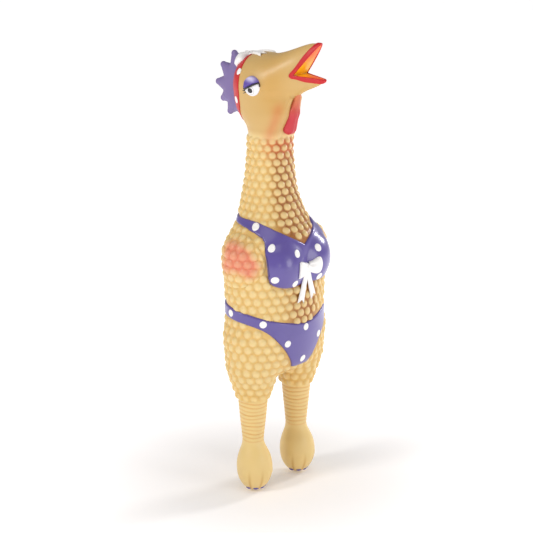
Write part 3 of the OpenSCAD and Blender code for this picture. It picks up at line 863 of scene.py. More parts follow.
def cloth(angles, low, high, rows, thick, cups=False, around=False):
    """Raised layer on the body between two edges, given at each angle."""
    angles = np.asarray(angles, float)
    share = (1 - np.cos(np.linspace(0, math.pi, rows + 1))) / 2
    share = 0.35 * share + 0.65 * np.linspace(0, 1, rows + 1)
    a = np.tile(angles, rows + 1)
    bottom, top = low(np.abs(angles)), high(np.abs(angles))
    z = (bottom[None, :] + (top - bottom)[None, :] * share[:, None]).ravel()
    base = on_body(a, z, 0.0)
    across = len(angles)
    grid = base.reshape(rows + 1, across, 3)
    rims = [grid[0], grid[-1]] if around else [grid[0], grid[-1], grid[:, 0], grid[:, -1]]
    rise = rounded_rise(base, np.concatenate(rims), thick)
    if cups:
        rise = rise + cup_rise(np.abs(a), z) * np.clip(rise / thick, 0, 1)
    outer = on_body(a, z, rise)
    inner = on_body(a, z, -0.7)
    faces = sheet_faces(across if around else across - 1, rows, around)
    return np.concatenate([outer, inner]), faces


def spaced(*stretches):
    """Angles in stretches of (from, to, step), without repeats."""
    return np.unique(np.round(np.concatenate([np.arange(a, b, s) for a, b, s in stretches]), 4))


def body_dot(a, z, base, radius=DOT_R, thick=0.55, rings=4, spokes=28):
    """Round painted dot at angle a and height z, where base gives the height of the face below it."""
    turn = np.linspace(0, 2 * math.pi, spokes, endpoint=False)
    share = np.concatenate([[0.0], np.repeat(np.linspace(1 / rings, 1, rings), spokes)])
    ring_turn = np.concatenate([[0.0], np.tile(turn, rings)])
    width = float(np.linalg.norm(on_body(a + 0.5, z, 0) - on_body(a - 0.5, z, 0)))
    b = a + radius * share * np.cos(ring_turn) / width
    h = z + radius * share * np.sin(ring_turn)
    rise = thick * np.sqrt(np.clip(1 - share**4, 0, 1)) + 0.02 - 0.3 * np.exp(-((share / 0.4) ** 2))
    outer = on_body(b, h, base(b, h) + rise)
    inner = on_body(b, h, base(b, h) - 0.5)
    return np.concatenate([outer, inner]), disc_faces(rings, spokes)


def top_base(a, z):
    return CLOTH_T + cup_rise(np.abs(a), z)


def brief_base(a, z):
    return np.full(np.shape(a), CLOTH_T)


WING_PITCH = 9.2
WING_NUB_HEIGHT = 2.1


def wing_mesh(side, rng):
    """A folded wing: a low nubbed lens on the flank."""
    n = 120
    du, dv = disc_grid(n)
    reach = np.hypot(du, dv)
    a = WING["a"] + WING["half_a"] * du
    z = WING["z"] + WING["half_z"] * dv - 3 * du * (1 - reach)
    # Known fault: reach passes 1 by rounding at 8 points of the rim, where this power is then invalid
    bulge = 3.8 * (1 - reach**2.2) ** 1.2
    base = on_body(a, z, 0.0)
    spots = []
    for row in range(-4, 5):
        for col in range(-7, 8):
            spots.append(((col + 0.5 * (row % 2)) * WING_PITCH, row * WING_PITCH * 0.87))
    spots = np.array(spots) + rng.normal(0, 0.3, (len(spots), 2))
    across = on_body(WING["a"] + np.linspace(-WING["half_a"], WING["half_a"], 61), WING["z"], 0.0)
    arc = np.concatenate([[0], np.cumsum(np.linalg.norm(np.diff(across, axis=0), axis=1))])
    flat_x = np.interp(du, np.linspace(-1, 1, 61), arc) - arc[-1] / 2
    flat = np.stack([flat_x, z - WING["z"]], -1)
    gap = np.sqrt(((flat[:, None, :] - spots[None, :, :]) ** 2).sum(2)).min(1)
    bell = nub_bell(gap / (NUB_SHARE * WING_PITCH)) * ease((1 - reach) / 0.08)
    outer = on_body(a, z, bulge + WING_NUB_HEIGHT * bell)
    points = np.concatenate([outer, base * [0.98, 0.98, 1]])
    faces = sheet_faces(n, n)
    blobs = (
        (-0.5, 0.5, 0.28), (0.04, 0.26, 0.26), (-0.62, -0.2, 0.28), (0.34, -0.48, 0.24), (-0.1, -0.02, 0.28),
        (0.14, -0.2, 0.26), (-0.3, 0.14, 0.28), (0.36, -0.02, 0.18), (-0.2, 0.42, 0.2),
    )
    blush = sum(0.85 * np.exp(-((-du - bx - 0.4) ** 2 + (dv - bz) ** 2) / r**2) for bx, bz, r in blobs)
    blush = np.clip(blush, 0, 1) * ease((1 - reach) / 0.36) * (1 - 0.15 * bell)
    masks = {
        # Painted shade between the wing's nubs
        "valley_shade": np.concatenate([(1 - ease(bell / 0.8)) * 0.7, np.zeros(len(base))]),
        "blush": np.concatenate([blush, np.zeros(len(base))]),
    }
    if side < 0:
        points, faces = mirrored(points, faces)
    return points, faces, masks


BOW_Z = 239.5


def bow_loop(side, surface, length, narrow, wide, thick, rise, cols=26, rows=18):
    """One puffed loop of a bow, from its knot outwards, on a surface for (distance, height, rise)."""
    p, q = np.meshgrid(np.linspace(0, 1, cols + 1), np.linspace(-1, 1, rows + 1))
    p, q = p.ravel(), q.ravel()
    half = narrow + (wide - narrow) * ease(p * 1.15) - 0.6 * ease((p - 0.86) / 0.14)
    along = 1.6 + (length - 1.6) * p + 0.8 * (1 - q * q) * ease((p - 0.7) / 0.3)
    cross = np.sqrt(np.clip(1 - np.abs(q) ** 3.2, 0, 1))
    shape = 0.45 + 0.55 * np.sin(np.clip(p * 1.05, 0, 1) * math.pi * 0.78 + 0.35)
    folds = 0.55 * np.cos(q * 7.5) * (1 - ease(p / 0.75))
    lip = ease((1 - p) / 0.07)
    top = rise + (thick * shape * cross + folds * cross) * (0.25 + 0.75 * lip)
    outer = surface(side * along, q * half, top)
    inner = surface(side * along, q * half, np.full(len(p), rise - 0.3))
    faces = sheet_faces(cols, rows)
    return np.concatenate([outer, inner]), faces if side > 0 else [f[::-1] for f in faces]


def ribbon(side, surface, start, end, widths, thick, notch, cols=8, rows=30):
    """A flat ribbon end with a swallow tail, from start to end in (across, along) millimetres."""
    p, q = np.meshgrid(np.linspace(-1, 1, cols + 1), np.linspace(0, 1, rows + 1))
    p, q = p.ravel(), q.ravel()
    start, end = np.asarray(start, float), np.asarray(end, float)
    way = (end - start) / np.linalg.norm(end - start)
    sideways = np.array([-way[1], way[0]])
    width = widths[0] + (widths[1] - widths[0]) * q
    reach = q * np.linalg.norm(end - start) - notch * (1 - np.abs(p)) * ease((q - 0.55) / 0.45)
    flat = start + reach[:, None] * way + (p * width / 2)[:, None] * sideways
    lift = 0.35 * (1 - p * p)
    edge = np.sqrt(np.clip(1 - np.abs(p) ** 6, 0, 1))
    outer = surface(side * flat[:, 0], flat[:, 1], lift + thick * (0.35 + 0.65 * edge))
    inner = surface(side * flat[:, 0], flat[:, 1], lift)
    faces = sheet_faces(cols, rows)
    return np.concatenate([outer, inner]), faces if side < 0 else [f[::-1] for f in faces]


def knot_mesh(surface, half_w, half_h, thick, rise, rings=9, spokes=32):
    """The squarish knot in the middle of a bow."""
    turn = np.linspace(0, 2 * math.pi, spokes, endpoint=False)
    share = np.concatenate([[0.0], np.repeat(np.linspace(1 / rings, 1, rings), spokes)])
    ring_turn = np.concatenate([[0.0], np.tile(turn, rings)])
    squarish = 1 / (np.abs(np.cos(ring_turn)) ** 3 + np.abs(np.sin(ring_turn)) ** 3) ** (1 / 3)
    u = half_w * share * squarish * np.cos(ring_turn)
    v = half_h * share * squarish * np.sin(ring_turn)
    top = rise + thick * np.sqrt(np.clip(1 - share**3, 0, 1)) + 0.3 * np.cos(u * 2.6) * (1 - share)
    outer = surface(u, v, top)
    inner = surface(u, v, np.full(len(u), rise - 1.2))
    return np.concatenate([outer, inner]), disc_faces(rings, spokes)


def chest_surface(u, v, rise):
    """Surface of the chest bow: u across, v up from the bow's middle."""
    z = BOW_Z + v
    a = np.degrees(np.asarray(u) / 59.0)
    cup = np.where(z > 221, CLOTH_T + cup_rise(np.abs(a), z), 0.0)
    base = np.maximum(cup, 2.1)
    return on_body(a, z, base + rise)


# ---------------------------------------------------------------- head features

def lips_shape(x, y, z):
    """Red rim along the edge of the open mouth."""
    solid, gap = head_solid(x, y, z), mouth_gap(y, z)
    wide = 3.3 + 1.6 * ease((MOUTH[1] - y - 1) / 12)
    band = soft_max(gap - wide, -gap - 0.55, 1.2)
    return soft_max(soft_max(solid - 0.9, -solid - 1.6, 1.0), band, 1.4)


def lining_shape(x, y, z):
    """Yellow layer on the roof and floor of the mouth."""
    solid, gap = head_solid(x, y, z), mouth_gap(y, z)
    band = soft_max(gap - 1.4, -gap - 0.35 - 0.25 * np.cos(x * 0.45), 0.5)
    return soft_max(solid + 1.3, band, 0.5)


JAW_LEAN = math.radians(8)
MOUTH_MIDDLE = math.radians(23)


def jaw_side_of(points):
    """True for points that belong to the lower beak."""
    ahead, up = MOUTH[1] - points[:, 1], points[:, 2] - MOUTH[2]
    in_front = ahead * math.cos(JAW_LEAN) + up * math.sin(JAW_LEAN) > 0
    return in_front & (up < ahead * math.tan(MOUTH_MIDDLE))


# From the mouth's corner to this far along the jaw
JAW_LENGTH = 14
JAW_START = spot(*MOUTH)
JAW_END = spot(0, MOUTH[1] - JAW_LENGTH * math.cos(JAW_LEAN), MOUTH[2] + JAW_LENGTH * math.sin(JAW_LEAN))

BAND_Y = 32.6
BAND_HALF = 6.6
COMB_Y, COMB_Z = 40, 412
COMB_TIPS = ((-53, 37.6), (-26.5, 36.8), (1.5, 40.2), (32.5, 38.8), (65.5, 38.6))
COMB_TIP_R = 3.5


def comb_shape(x, y, z):
    """A fan of five soft spikes behind the head."""
    reach = np.hypot(y - COMB_Y, z - COMB_Z)
    shape = rod(x, y, z, (0, 43, 394), (0, 41, 434), 10, 9)
    for angle, tip in COMB_TIPS:
        a = math.radians(angle)
        spike = rod(
            x, y, z, (0, COMB_Y + 17 * math.cos(a), COMB_Z + 17 * math.sin(a)),
            (0, COMB_Y + (tip - COMB_TIP_R) * math.cos(a), COMB_Z + (tip - COMB_TIP_R) * math.sin(a)),
            12.6, COMB_TIP_R,
        )
        shape = soft_min(shape, spike, 2.2)
    half = 8.2 - 4.4 * ease((reach - 14) / 26)
    return soft_max(shape, np.abs(x) - half, 3.5)


def headband_shape(x, y, z):
    """Ribbon round the head, narrower low down."""
    solid = head_solid(x, y, z)
    plane = np.abs(y - BAND_Y) - BAND_HALF * (0.35 + 0.65 * ease((z - 374) / 24))
    return soft_max(soft_max(solid - 0.8, -solid - 0.8, 0.8), plane, 1.0)


def wattle_shape(x, y, z):
    """Flap under the chin, with a crease down its middle."""
    upper = rod(x, y, z, (0, -30.6, 414), (0, -24.2, 394), 2.8, 5.8)
    lower = rod(x, y, z, (0, -24.2, 394), (0, -18.6, 378.6), 5.8, 7.6)
    crease = 0.5 * np.exp(-((np.abs(x) - 0.2) / 0.9) ** 2) * ease((404 - z) / 10)
    return soft_min(upper, lower, 3) + crease


def eye_frame(side):
    """Middle of an eye, and its directions across and up."""
    return (side * EYE[0], EYE[1] - 2.0, EYE[2] - 0.4), (0, -1, 0), (0, 0, 1)


EYE_HALF_U = 9.0
EYE_HALF_V = 9.7
LID_SLOPE = 0.5
PUPIL_U, PUPIL_V = -0.5, -3.9


def eye_bulge(u, v):
    """How far the eyeball stands out of the head."""
    reach = (u / EYE_HALF_U) ** 2 + (v / EYE_HALF_V) ** 2
    return 2.9 * np.sqrt(np.clip(1 - reach, 0, 1)) + 0.15


def eye_layer(side, u, v, low, high, faces):
    """Closed layer over the eye for a grid of (u, v), between two rises."""
    centre, across, up = eye_frame(side)
    start = np.asarray(centre) + u[:, None] * np.asarray(across) + v[:, None] * np.asarray(up)
    base, normal = settle(head_solid, start, 6, most=4.0)
    points = np.concatenate([base + normal * high[:, None], base + normal * low[:, None]])
    return points, faces if side < 0 else [f[::-1] for f in faces]


def grid(cols, rows):
    p, q = np.meshgrid(np.linspace(0, 1, cols + 1), np.linspace(0, 1, rows + 1))
    return p.ravel(), q.ravel()


def disc_grid(n):
    """Square grid of points, bent into a round disc of radius 1."""
    p, q = grid(n, n)
    u, v = 2 * p - 1, 2 * q - 1
    return u * np.sqrt(1 - v * v / 2), v * np.sqrt(1 - u * u / 2)


def eyeball_mesh(side):
    u, v = disc_grid(36)
    u, v = u * EYE_HALF_U, v * EYE_HALF_V
    points, faces = eye_layer(side, u, v, np.full(len(u), -1.0), eye_bulge(u, v), sheet_faces(36, 36))
    ring = np.hypot((u - PUPIL_U) * 0.86, v - PUPIL_V)
    return points, faces, {"ring": np.concatenate([ring, np.full(len(u), 9.0)])}


def lid_grid(cols, rows, low_line, high_line):
    """(u, v) over the eye between two lines that rise towards the beak."""
    p, q = grid(cols, rows)
    half = EYE_HALF_U + 0.3
    u = (2 * p - 1) * half * 0.999
    rim = (EYE_HALF_V + 0.5) * np.sqrt(np.clip(1 - (u / half) ** 2, 0, 1))
    line = LID_SLOPE * u
    low = np.clip(line + low_line, -rim, rim)
    high = np.clip(line + high_line, -rim, rim)
    return u, low + (high - low) * q, p, q


def eyelid_mesh(side):
    u, v, p, q = lid_grid(40, 22, 0.6, 30)
    edge = np.clip(np.minimum(q * 6, 1), 0, 1) * np.clip((1 - q) * 5, 0, 1) ** 0.5
    edge = edge * np.clip(np.minimum(p, 1 - p) * 14, 0, 1) ** 0.5
    high = eye_bulge(u, v) + 0.1 + 1.5 * edge
    points, faces = eye_layer(side, u, v, np.full(len(u), -0.8), high, sheet_faces(40, 22))
    # Painted highlight: a pale lavender patch high on the lid
    light = np.exp(-(((u + 1) / 6) ** 2 + ((v - 7.2) / 2.6) ** 2))
    return points, faces, {"light": np.concatenate([light, np.zeros(len(u))])}


def liner_mesh(side):
    u, v, p, q = lid_grid(40, 6, -0.7, 1.0)
    edge = np.sin(np.clip(q, 0, 1) * math.pi) ** 0.5
    high = eye_bulge(u, v) + 0.15 + 1.75 * edge
    return eye_layer(side, u, v, eye_bulge(u, v) - 0.3, high, sheet_faces(40, 6))


def pupil_mesh(side):
    u, v = disc_grid(14)
    reach = np.hypot(u, v)
    u, v = PUPIL_U + 2.7 * u, PUPIL_V + 2.3 * v
    rise = 0.5 * np.sqrt(np.clip(1 - reach**4, 0, 1))
    return eye_layer(side, u, v, eye_bulge(u, v) - 0.4, eye_bulge(u, v) + rise, sheet_faces(14, 14))


def lash_mesh(side, start, end, width):
    p, q = grid(8, 4)
    u = start[0] + (end[0] - start[0]) * p + 0.5 * np.sin(p * math.pi)
    v = start[1] + (end[1] - start[1]) * p
    v = v + (q - 0.5) * width * (1 - 0.6 * p)
    rise = 0.8 * np.sin(q * math.pi) * (1 - 0.4 * p) + 0.08
    high = np.maximum(eye_bulge(u, v) - 0.15, 0) + rise
    return eye_layer(side, u, v, np.full(len(u), -0.4), high, sheet_faces(8, 4))


def on_head(start, rise):
    """Points raised off the head, nearest to where they start."""
    base, normal = settle(head_solid, np.asarray(start, float), 6, most=5.0)
    return base + normal * np.asarray(rise)[:, None]


CROWN = (0.0, 38.5, 446.0)


def crown_surface(u, v, rise):
    """Surface of the head's bow: u across, v backwards down from the bow's middle."""
    start = np.stack([
        u, CROWN[1] + v * 0.86, CROWN[2] - v * 0.5 - 0.02 * np.asarray(u) ** 2
    ], -1)
    return on_head(start, rise)


def crown_ribbon_surface(u, v, rise):
    start = np.stack([u, CROWN[1] - np.asarray(v), CROWN[2] + 3 + 0 * np.asarray(u)], -1)
    return on_head(start, rise)


# ---------------------------------------------------------------- materials

def link(tree, a, b):
    tree.links.new(a, b)


def mix_in(tree, amount, under, colour):
    """Colour mixed over the one under it, by an amount from a socket."""
    mix = tree.nodes.new("ShaderNodeMix")
    mix.data_type = "RGBA"
    link(tree, amount, mix.inputs["Factor"])
    link(tree, under, mix.inputs["A"])
    mix.inputs["B"].default_value = (*colour, 1)
    return mix.outputs["Result"]


UNEVEN_GLOSS = 0.04
MOTTLE_SCALE = 60.0
GRAIN_SCALE = 900.0


def finish_for(name, colour, rough, layers=(), bump=0.15, coat=0.0, coat_rough=0.15, specular=0.5,
               mottle=0.05, soft=0.0):
    """Painted or bare latex: a base colour, masks that mix in others, fine grain and uneven gloss."""
    made = bpy.data.materials.new(name)
    made.use_nodes = True
    tree = made.node_tree
    tree.nodes.clear()
    out = tree.nodes.new("ShaderNodeOutputMaterial")
    shader = tree.nodes.new("ShaderNodeBsdfPrincipled")
    link(tree, shader.outputs["BSDF"], out.inputs["Surface"])
    shader.inputs["Coat Weight"].default_value = coat
    shader.inputs["Coat Roughness"].default_value = coat_rough
    shader.inputs["Specular IOR Level"].default_value = specular
    shader.inputs["Subsurface Weight"].default_value = soft
    shader.inputs["Subsurface Radius"].default_value = (1.0, 0.45, 0.2)
    shader.inputs["Subsurface Scale"].default_value = 0.002
    where = tree.nodes.new("ShaderNodeTexCoord")
    cloud = tree.nodes.new("ShaderNodeTexNoise")
    cloud.inputs["Scale"].default_value = MOTTLE_SCALE
    cloud.inputs["Detail"].default_value = 3.0
    link(tree, where.outputs["Object"], cloud.inputs["Vector"])
    shade = tree.nodes.new("ShaderNodeMix")
    shade.data_type = "RGBA"
    shade.inputs["A"].default_value = (*[c * (1 - mottle) for c in colour], 1)
    shade.inputs["B"].default_value = (*[min(1, c * (1 + mottle)) for c in colour], 1)
    link(tree, cloud.outputs["Fac"], shade.inputs["Factor"])
    tint = shade.outputs["Result"]
    for mask, mixed, strength in layers:
        field = tree.nodes.new("ShaderNodeAttribute")
        field.attribute_name = mask
        amount = tree.nodes.new("ShaderNodeMath")
        amount.operation = "MULTIPLY"
        amount.use_clamp = True
        amount.inputs[1].default_value = strength
        link(tree, field.outputs["Fac"], amount.inputs[0])
        tint = mix_in(tree, amount.outputs["Value"], tint, mixed)
    link(tree, tint, shader.inputs["Base Color"])
    dust = tree.nodes.new("ShaderNodeTexNoise")
    dust.inputs["Scale"].default_value = GRAIN_SCALE
    dust.inputs["Detail"].default_value = 4.0
    link(tree, where.outputs["Object"], dust.inputs["Vector"])
    gloss = tree.nodes.new("ShaderNodeMapRange")
    gloss.inputs["To Min"].default_value = max(0.02, rough - UNEVEN_GLOSS)
    gloss.inputs["To Max"].default_value = min(1.0, rough + UNEVEN_GLOSS)
    link(tree, cloud.outputs["Fac"], gloss.inputs["Value"])
    link(tree, gloss.outputs["Result"], shader.inputs["Roughness"])
    bumps = tree.nodes.new("ShaderNodeBump")
    bumps.inputs["Strength"].default_value = bump
    bumps.inputs["Distance"].default_value = 0.0002
    link(tree, dust.outputs["Fac"], bumps.inputs["Height"])
    link(tree, bumps.outputs["Normal"], shader.inputs["Normal"])
    return made


def srgb(r, g, b):
    """Colour on the usual 0 to 255 scale as linear light."""
    return tuple(c / 255 / 12.92 if c <= 10 else ((c / 255 + 0.055) / 1.055) ** 2.4 for c in (r, g, b))


CREAM = srgb(230, 203, 142)
latex_skin = finish_for(
    "latex_skin", CREAM, 0.44,
    layers=(
        ("head", srgb(204, 166, 100), 0.95),
        ("leg", srgb(232, 200, 130), 0.8),
        # Painted shade between the nubs, partly the toy's warm airbrush
        ("valley_shade", srgb(214, 160, 48), 0.7),
        # Painted dark-brown shade in the hollows at the front
        ("front_hollow_shade", srgb(146, 74, 8), 0.84),
        # Painted shade in the grooves round the shanks
        ("crease", srgb(216, 148, 66), 0.7),
        # Airbrushed orange beside the wattle, and painted shade under the chin
        ("flush_and_chin_shade", srgb(208, 96, 46), 0.6),
        # Painted shade between the toes, and the cheek's tan airbrush
        ("toe", srgb(202, 152, 68), 0.75),
    ),
    coat=0.12, coat_rough=0.25, mottle=0.03, soft=0.05,
)
wing_blush = finish_for(
    "wing_blush", CREAM, 0.44,
    # The valley layer is painted shade between the nubs; the blush is the wing's own pink paint
    layers=(("valley_shade", srgb(216, 160, 56), 0.66), ("blush", srgb(222, 88, 88), 0.68)),
    coat=0.12, coat_rough=0.25, mottle=0.03, soft=0.05,
)
bikini_paint = finish_for(
    "bikini_paint", srgb(92, 78, 152), 0.33, coat=0.45, coat_rough=0.14, mottle=0.06, bump=0.1)
comb_latex = finish_for(
    "comb_latex", srgb(126, 110, 160), 0.5, mottle=0.07, bump=0.2, specular=0.4, soft=0.08)
red_paint = finish_for("red_paint", srgb(196, 6, 22), 0.42, coat=0.08, coat_rough=0.2, mottle=0.05)
wattle_paint = finish_for(
    "wattle_paint", srgb(194, 44, 56), 0.45, layers=(("high", srgb(214, 136, 84), 0.8),), mottle=0.08,
    coat=0.1)
lining_paint = finish_for(
    "lining_paint", srgb(255, 194, 24), 0.45, layers=(("outward", srgb(250, 108, 24), 1.0),), mottle=0.05)
white_paint = finish_for("white_paint", srgb(246, 244, 242), 0.4, mottle=0.015, coat=0.15)
black_paint = finish_for("black_paint", srgb(24, 20, 26), 0.3, mottle=0.2, coat=0.4)
# The light layer is a painted highlight on the lid
lid_paint = finish_for(
    "lid_paint", srgb(88, 66, 158), 0.4, layers=(("light", srgb(216, 206, 238), 0.95),), mottle=0.05)
plastic = finish_for("squeaker_plastic", srgb(238, 236, 228), 0.3, mottle=0.02, bump=0.05)
film = finish_for("reed_film", srgb(226, 222, 170), 0.35, mottle=0.04, bump=0.05)


def sclera_finish():
    """Eye white with a thin grey-green ring round the pupil."""
    made = finish_for("eye_white", srgb(240, 238, 242), 0.3, mottle=0.02, coat=0.3)
    tree = made.node_tree
    shader = next(n for n in tree.nodes if n.type == "BSDF_PRINCIPLED")
    under = shader.inputs["Base Color"].links[0].from_socket
    field = tree.nodes.new("ShaderNodeAttribute")
    field.attribute_name = "ring"
    ramp = tree.nodes.new("ShaderNodeMapRange")
    ramp.interpolation_type = "SMOOTHSTEP"
    ramp.inputs["From Min"].default_value = 0.0
    ramp.inputs["From Max"].default_value = 0.75
    ramp.inputs["To Min"].default_value = 0.45
    ramp.inputs["To Max"].default_value = 0.0
    away = tree.nodes.new("ShaderNodeMath")
    away.operation = "SUBTRACT"
    away.inputs[1].default_value = 3.7
    size = tree.nodes.new("ShaderNodeMath")
    size.operation = "ABSOLUTE"
    link(tree, field.outputs["Fac"], away.inputs[0])
    link(tree, away.outputs["Value"], size.inputs[0])
    link(tree, size.outputs["Value"], ramp.inputs["Value"])
    ringed = mix_in(tree, ramp.outputs["Result"], under, srgb(120, 128, 112))
    link(tree, ringed, shader.inputs["Base Color"])
    return made


eye_white = sclera_finish()


# ---------------------------------------------------------------- the object

BELLY_START = spot(0, -31, 200)
BELLY_END = spot(0, -46, 200)


def on_belly(obj):
    """Bakes the piece's place into its mesh; used for the pieces on the chest and belly."""
    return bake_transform(obj)


def build_all_skin(rng):
    """Cuts the whole skin at the joints into pieces."""
    whole = build_skin(rng)
    middles = whole["points"][whole["quads"]].mean(1)
    x, y, z = middles.T
    jaw = jaw_side_of(middles) & (z < 440) & (z > 405) & (y < MOUTH[1] + 6)
    torso = skin_piece("torso_skin", whole, (z >= HIP_CUT) & (z < SHOULDER_CUT), latex_skin)
    on_belly(torso)
    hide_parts("torso_shell", "belly_panel", "left_thigh", "right_thigh")
    neck = skin_piece("neck_skin", whole, (z >= SHOULDER_CUT) & (z < THROAT_CUT), latex_skin)
    spot(0, 5.5, SHOULDER_CUT)
    spot(0, 5.5, THROAT_CUT)
    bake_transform(neck)
    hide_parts("neck_shell")
    throat = skin_piece("throat_skin", whole, (z >= THROAT_CUT) & (z < TURN_CUT), latex_skin)
    spot(0, 6.8, THROAT_CUT)
    spot(0, 6.8, TURN_CUT)
    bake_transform(throat)
    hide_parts("throat_shell")
    nape = skin_piece("nape_skin", whole, (z >= TURN_CUT) & (z < HEAD_CUT), latex_skin)
    spot(0, 6.8, TURN_CUT)
    spot(0, 6.8, HEAD_CUT)
    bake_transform(nape)
    head = skin_piece("head_skin", whole, (z >= HEAD_CUT) & ~jaw, latex_skin)
    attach(head, "head")
    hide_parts("head_shell")
    beak = skin_piece("lower_beak_skin", whole, jaw, latex_skin)
    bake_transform(beak)
    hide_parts("lower_beak")
    pieces = [torso, neck, throat, nape, head, beak]
    for side, word in ((1, "left"), (-1, "right")):
        mine = x * side > 0
        leg = skin_piece(f"{word}_leg_skin", whole, mine & (z < HIP_CUT) & (z >= ANKLE_CUT), latex_skin)
        spot(side * LEG_X, 0, HIP_CUT)
        spot(side * LEG_X, 0, 92)
        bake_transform(leg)
        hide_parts(f"{word}_shank")
        foot = skin_piece(f"{word}_foot_skin", whole, mine & (z < ANKLE_CUT), latex_skin)
        spot(side * LEG_X, 0, ANKLE_CUT)
        spot(side * LEG_X, 0, 38)
        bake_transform(foot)
        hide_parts(f"{word}_foot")
        pieces += [leg, foot]


def build_bikini():
    angles = spaced((-180, -58, 2.0), (-58, -42, 0.35), (-42, 42, 1.4), (42, 58, 0.35), (58, 180, 2.0))
    rows = 34
    points, faces = cloth(angles, top_low, top_high, rows, CLOTH_T, cups=True, around=True)
    top = make_object("bikini_top_cloth", points, faces, bikini_paint)
    strap = make_object("bikini_back_strap", *cloth(
        spaced((126, 234.1, 1.5)), lambda a: np.full(len(a), STRAP[0]), lambda a: np.full(len(a), STRAP[1]),
        10, CLOTH_T), bikini_paint)
    angles = spaced((-180, 180, 1.25))
    points, faces = cloth(angles, brief_low, brief_high, rows, CLOTH_T, around=True)
    brief = make_object("bikini_bottom_cloth", points, faces, bikini_paint)
    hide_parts("bikini_top")
    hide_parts("bikini_bottom")
    top_dots = []
    for a, z in ((72, 281.6), (42, 264), (14.6, 256.5), (39.5, 233.5), (17, 226.3)):
        top_dots.append(body_dot(-a, z, top_base))
    for a, z in ((84, 284.6), (55, 276), (14, 256.5), (39.5, 233.5), (17, 226.3)):
        top_dots.append(body_dot(a, z, top_base))
    brief_dots = []
    for a, z in ((99, 194.8), (52, 186.6), (22, 163.6), (130, 195.2), (160, 174), (167, 196)):
        one = body_dot(a, z, brief_base)
        brief_dots += [one, mirrored(*one)]
    brief_dots += [body_dot(0, 177, brief_base), body_dot(0, 143, brief_base), body_dot(180, 155, brief_base)]
    upper = make_object("bikini_top_dots_paint", *joined(top_dots), white_paint)
    lower = make_object("bikini_bottom_dots_paint", *joined(brief_dots), white_paint)
    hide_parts("bikini_top_dots")
    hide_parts("bikini_bottom_dots")
    for p in (top, strap, brief):
        on_belly(p)
    for p in (upper, lower):
        on_belly(p)


def build_wings(rng):
    for side, word in ((1, "left"), (-1, "right")):
        points, faces, masks = wing_mesh(side, rng)
        wing = make_object(f"{word}_wing_skin", points, faces, wing_blush, masks)
        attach(wing, "torso")
        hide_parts(f"{word}_wing")


def build_bows():
    loops = [bow_loop(side, chest_surface, 14.5, 5.6, 8.8, 3.4, 0.5) for side in (-1, 1)]
    loops.append(knot_mesh(chest_surface, 2.5, 4.2, 2.6, 1.6))
    bow = make_object("chest_bow_ribbon", *joined(loops), white_paint)
    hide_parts("chest_bow")
    ends = [
        ribbon(-1, chest_surface, (0.8, -4), (8.8, -36), (5.4, 8.6), 1.2, 4.5),
        ribbon(1, chest_surface, (0.8, -4), (10.6, -33), (5.4, 8.6), 1.2, 4.5),
    ]
    tails = make_object("chest_bow_ribbon_ends", *joined(ends), white_paint)
    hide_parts("chest_bow_tails")
    for p in (bow, tails):
        on_belly(p)
    loops = [bow_loop(side, crown_surface, 17.0, 3.8, 7.2, 6.4, 1.2) for side in (-1, 1)]
    loops.append(knot_mesh(crown_surface, 3.0, 4.0, 5.6, 1.6))
    bow = make_object("head_bow_ribbon", *joined(loops), white_paint)
    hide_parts("head_bow")
    ends = [ribbon(side, crown_ribbon_surface, (1.5, 5), (9.0, 31), (5.2, 7.6), 1.9, 4.0) for side in (-1, 1)]
    tails = make_object("head_bow_ribbon_ends", *joined(ends), white_paint)
    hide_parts("head_bow_tails")
    for p in (bow, tails):
        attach(p, "head")


def riding_head(name, mesh, finish, nodes=(), masks=None):
    """Piece that moves with the head; those without nodes are looks only."""
    obj = make_object(name, *mesh, finish, masks)
    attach(obj, "head")
    if nodes:
        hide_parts(*nodes)
    return obj


def split_mouth(name_up, name_low, shape, finish, nodes, masks_for=None):
    """A layer of the mouth in two pieces, one on the head and one for the jaw."""
    points, quads, normals = shape_mesh(shape, (-18, -69, 405), (18, -20, 472), FINE)
    masks = masks_for(points) if masks_for else {}
    whole = {"points": points, "quads": quads, "normals": normals, "masks": masks}
    low = jaw_side_of(points[quads].mean(1))
    upper = skin_piece(name_up, whole, ~low, finish)
    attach(upper, "head")
    lower = skin_piece(name_low, whole, low, finish)
    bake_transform(lower)
    for p, node in ((upper, nodes[0]), (lower, nodes[1])):
        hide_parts(node)


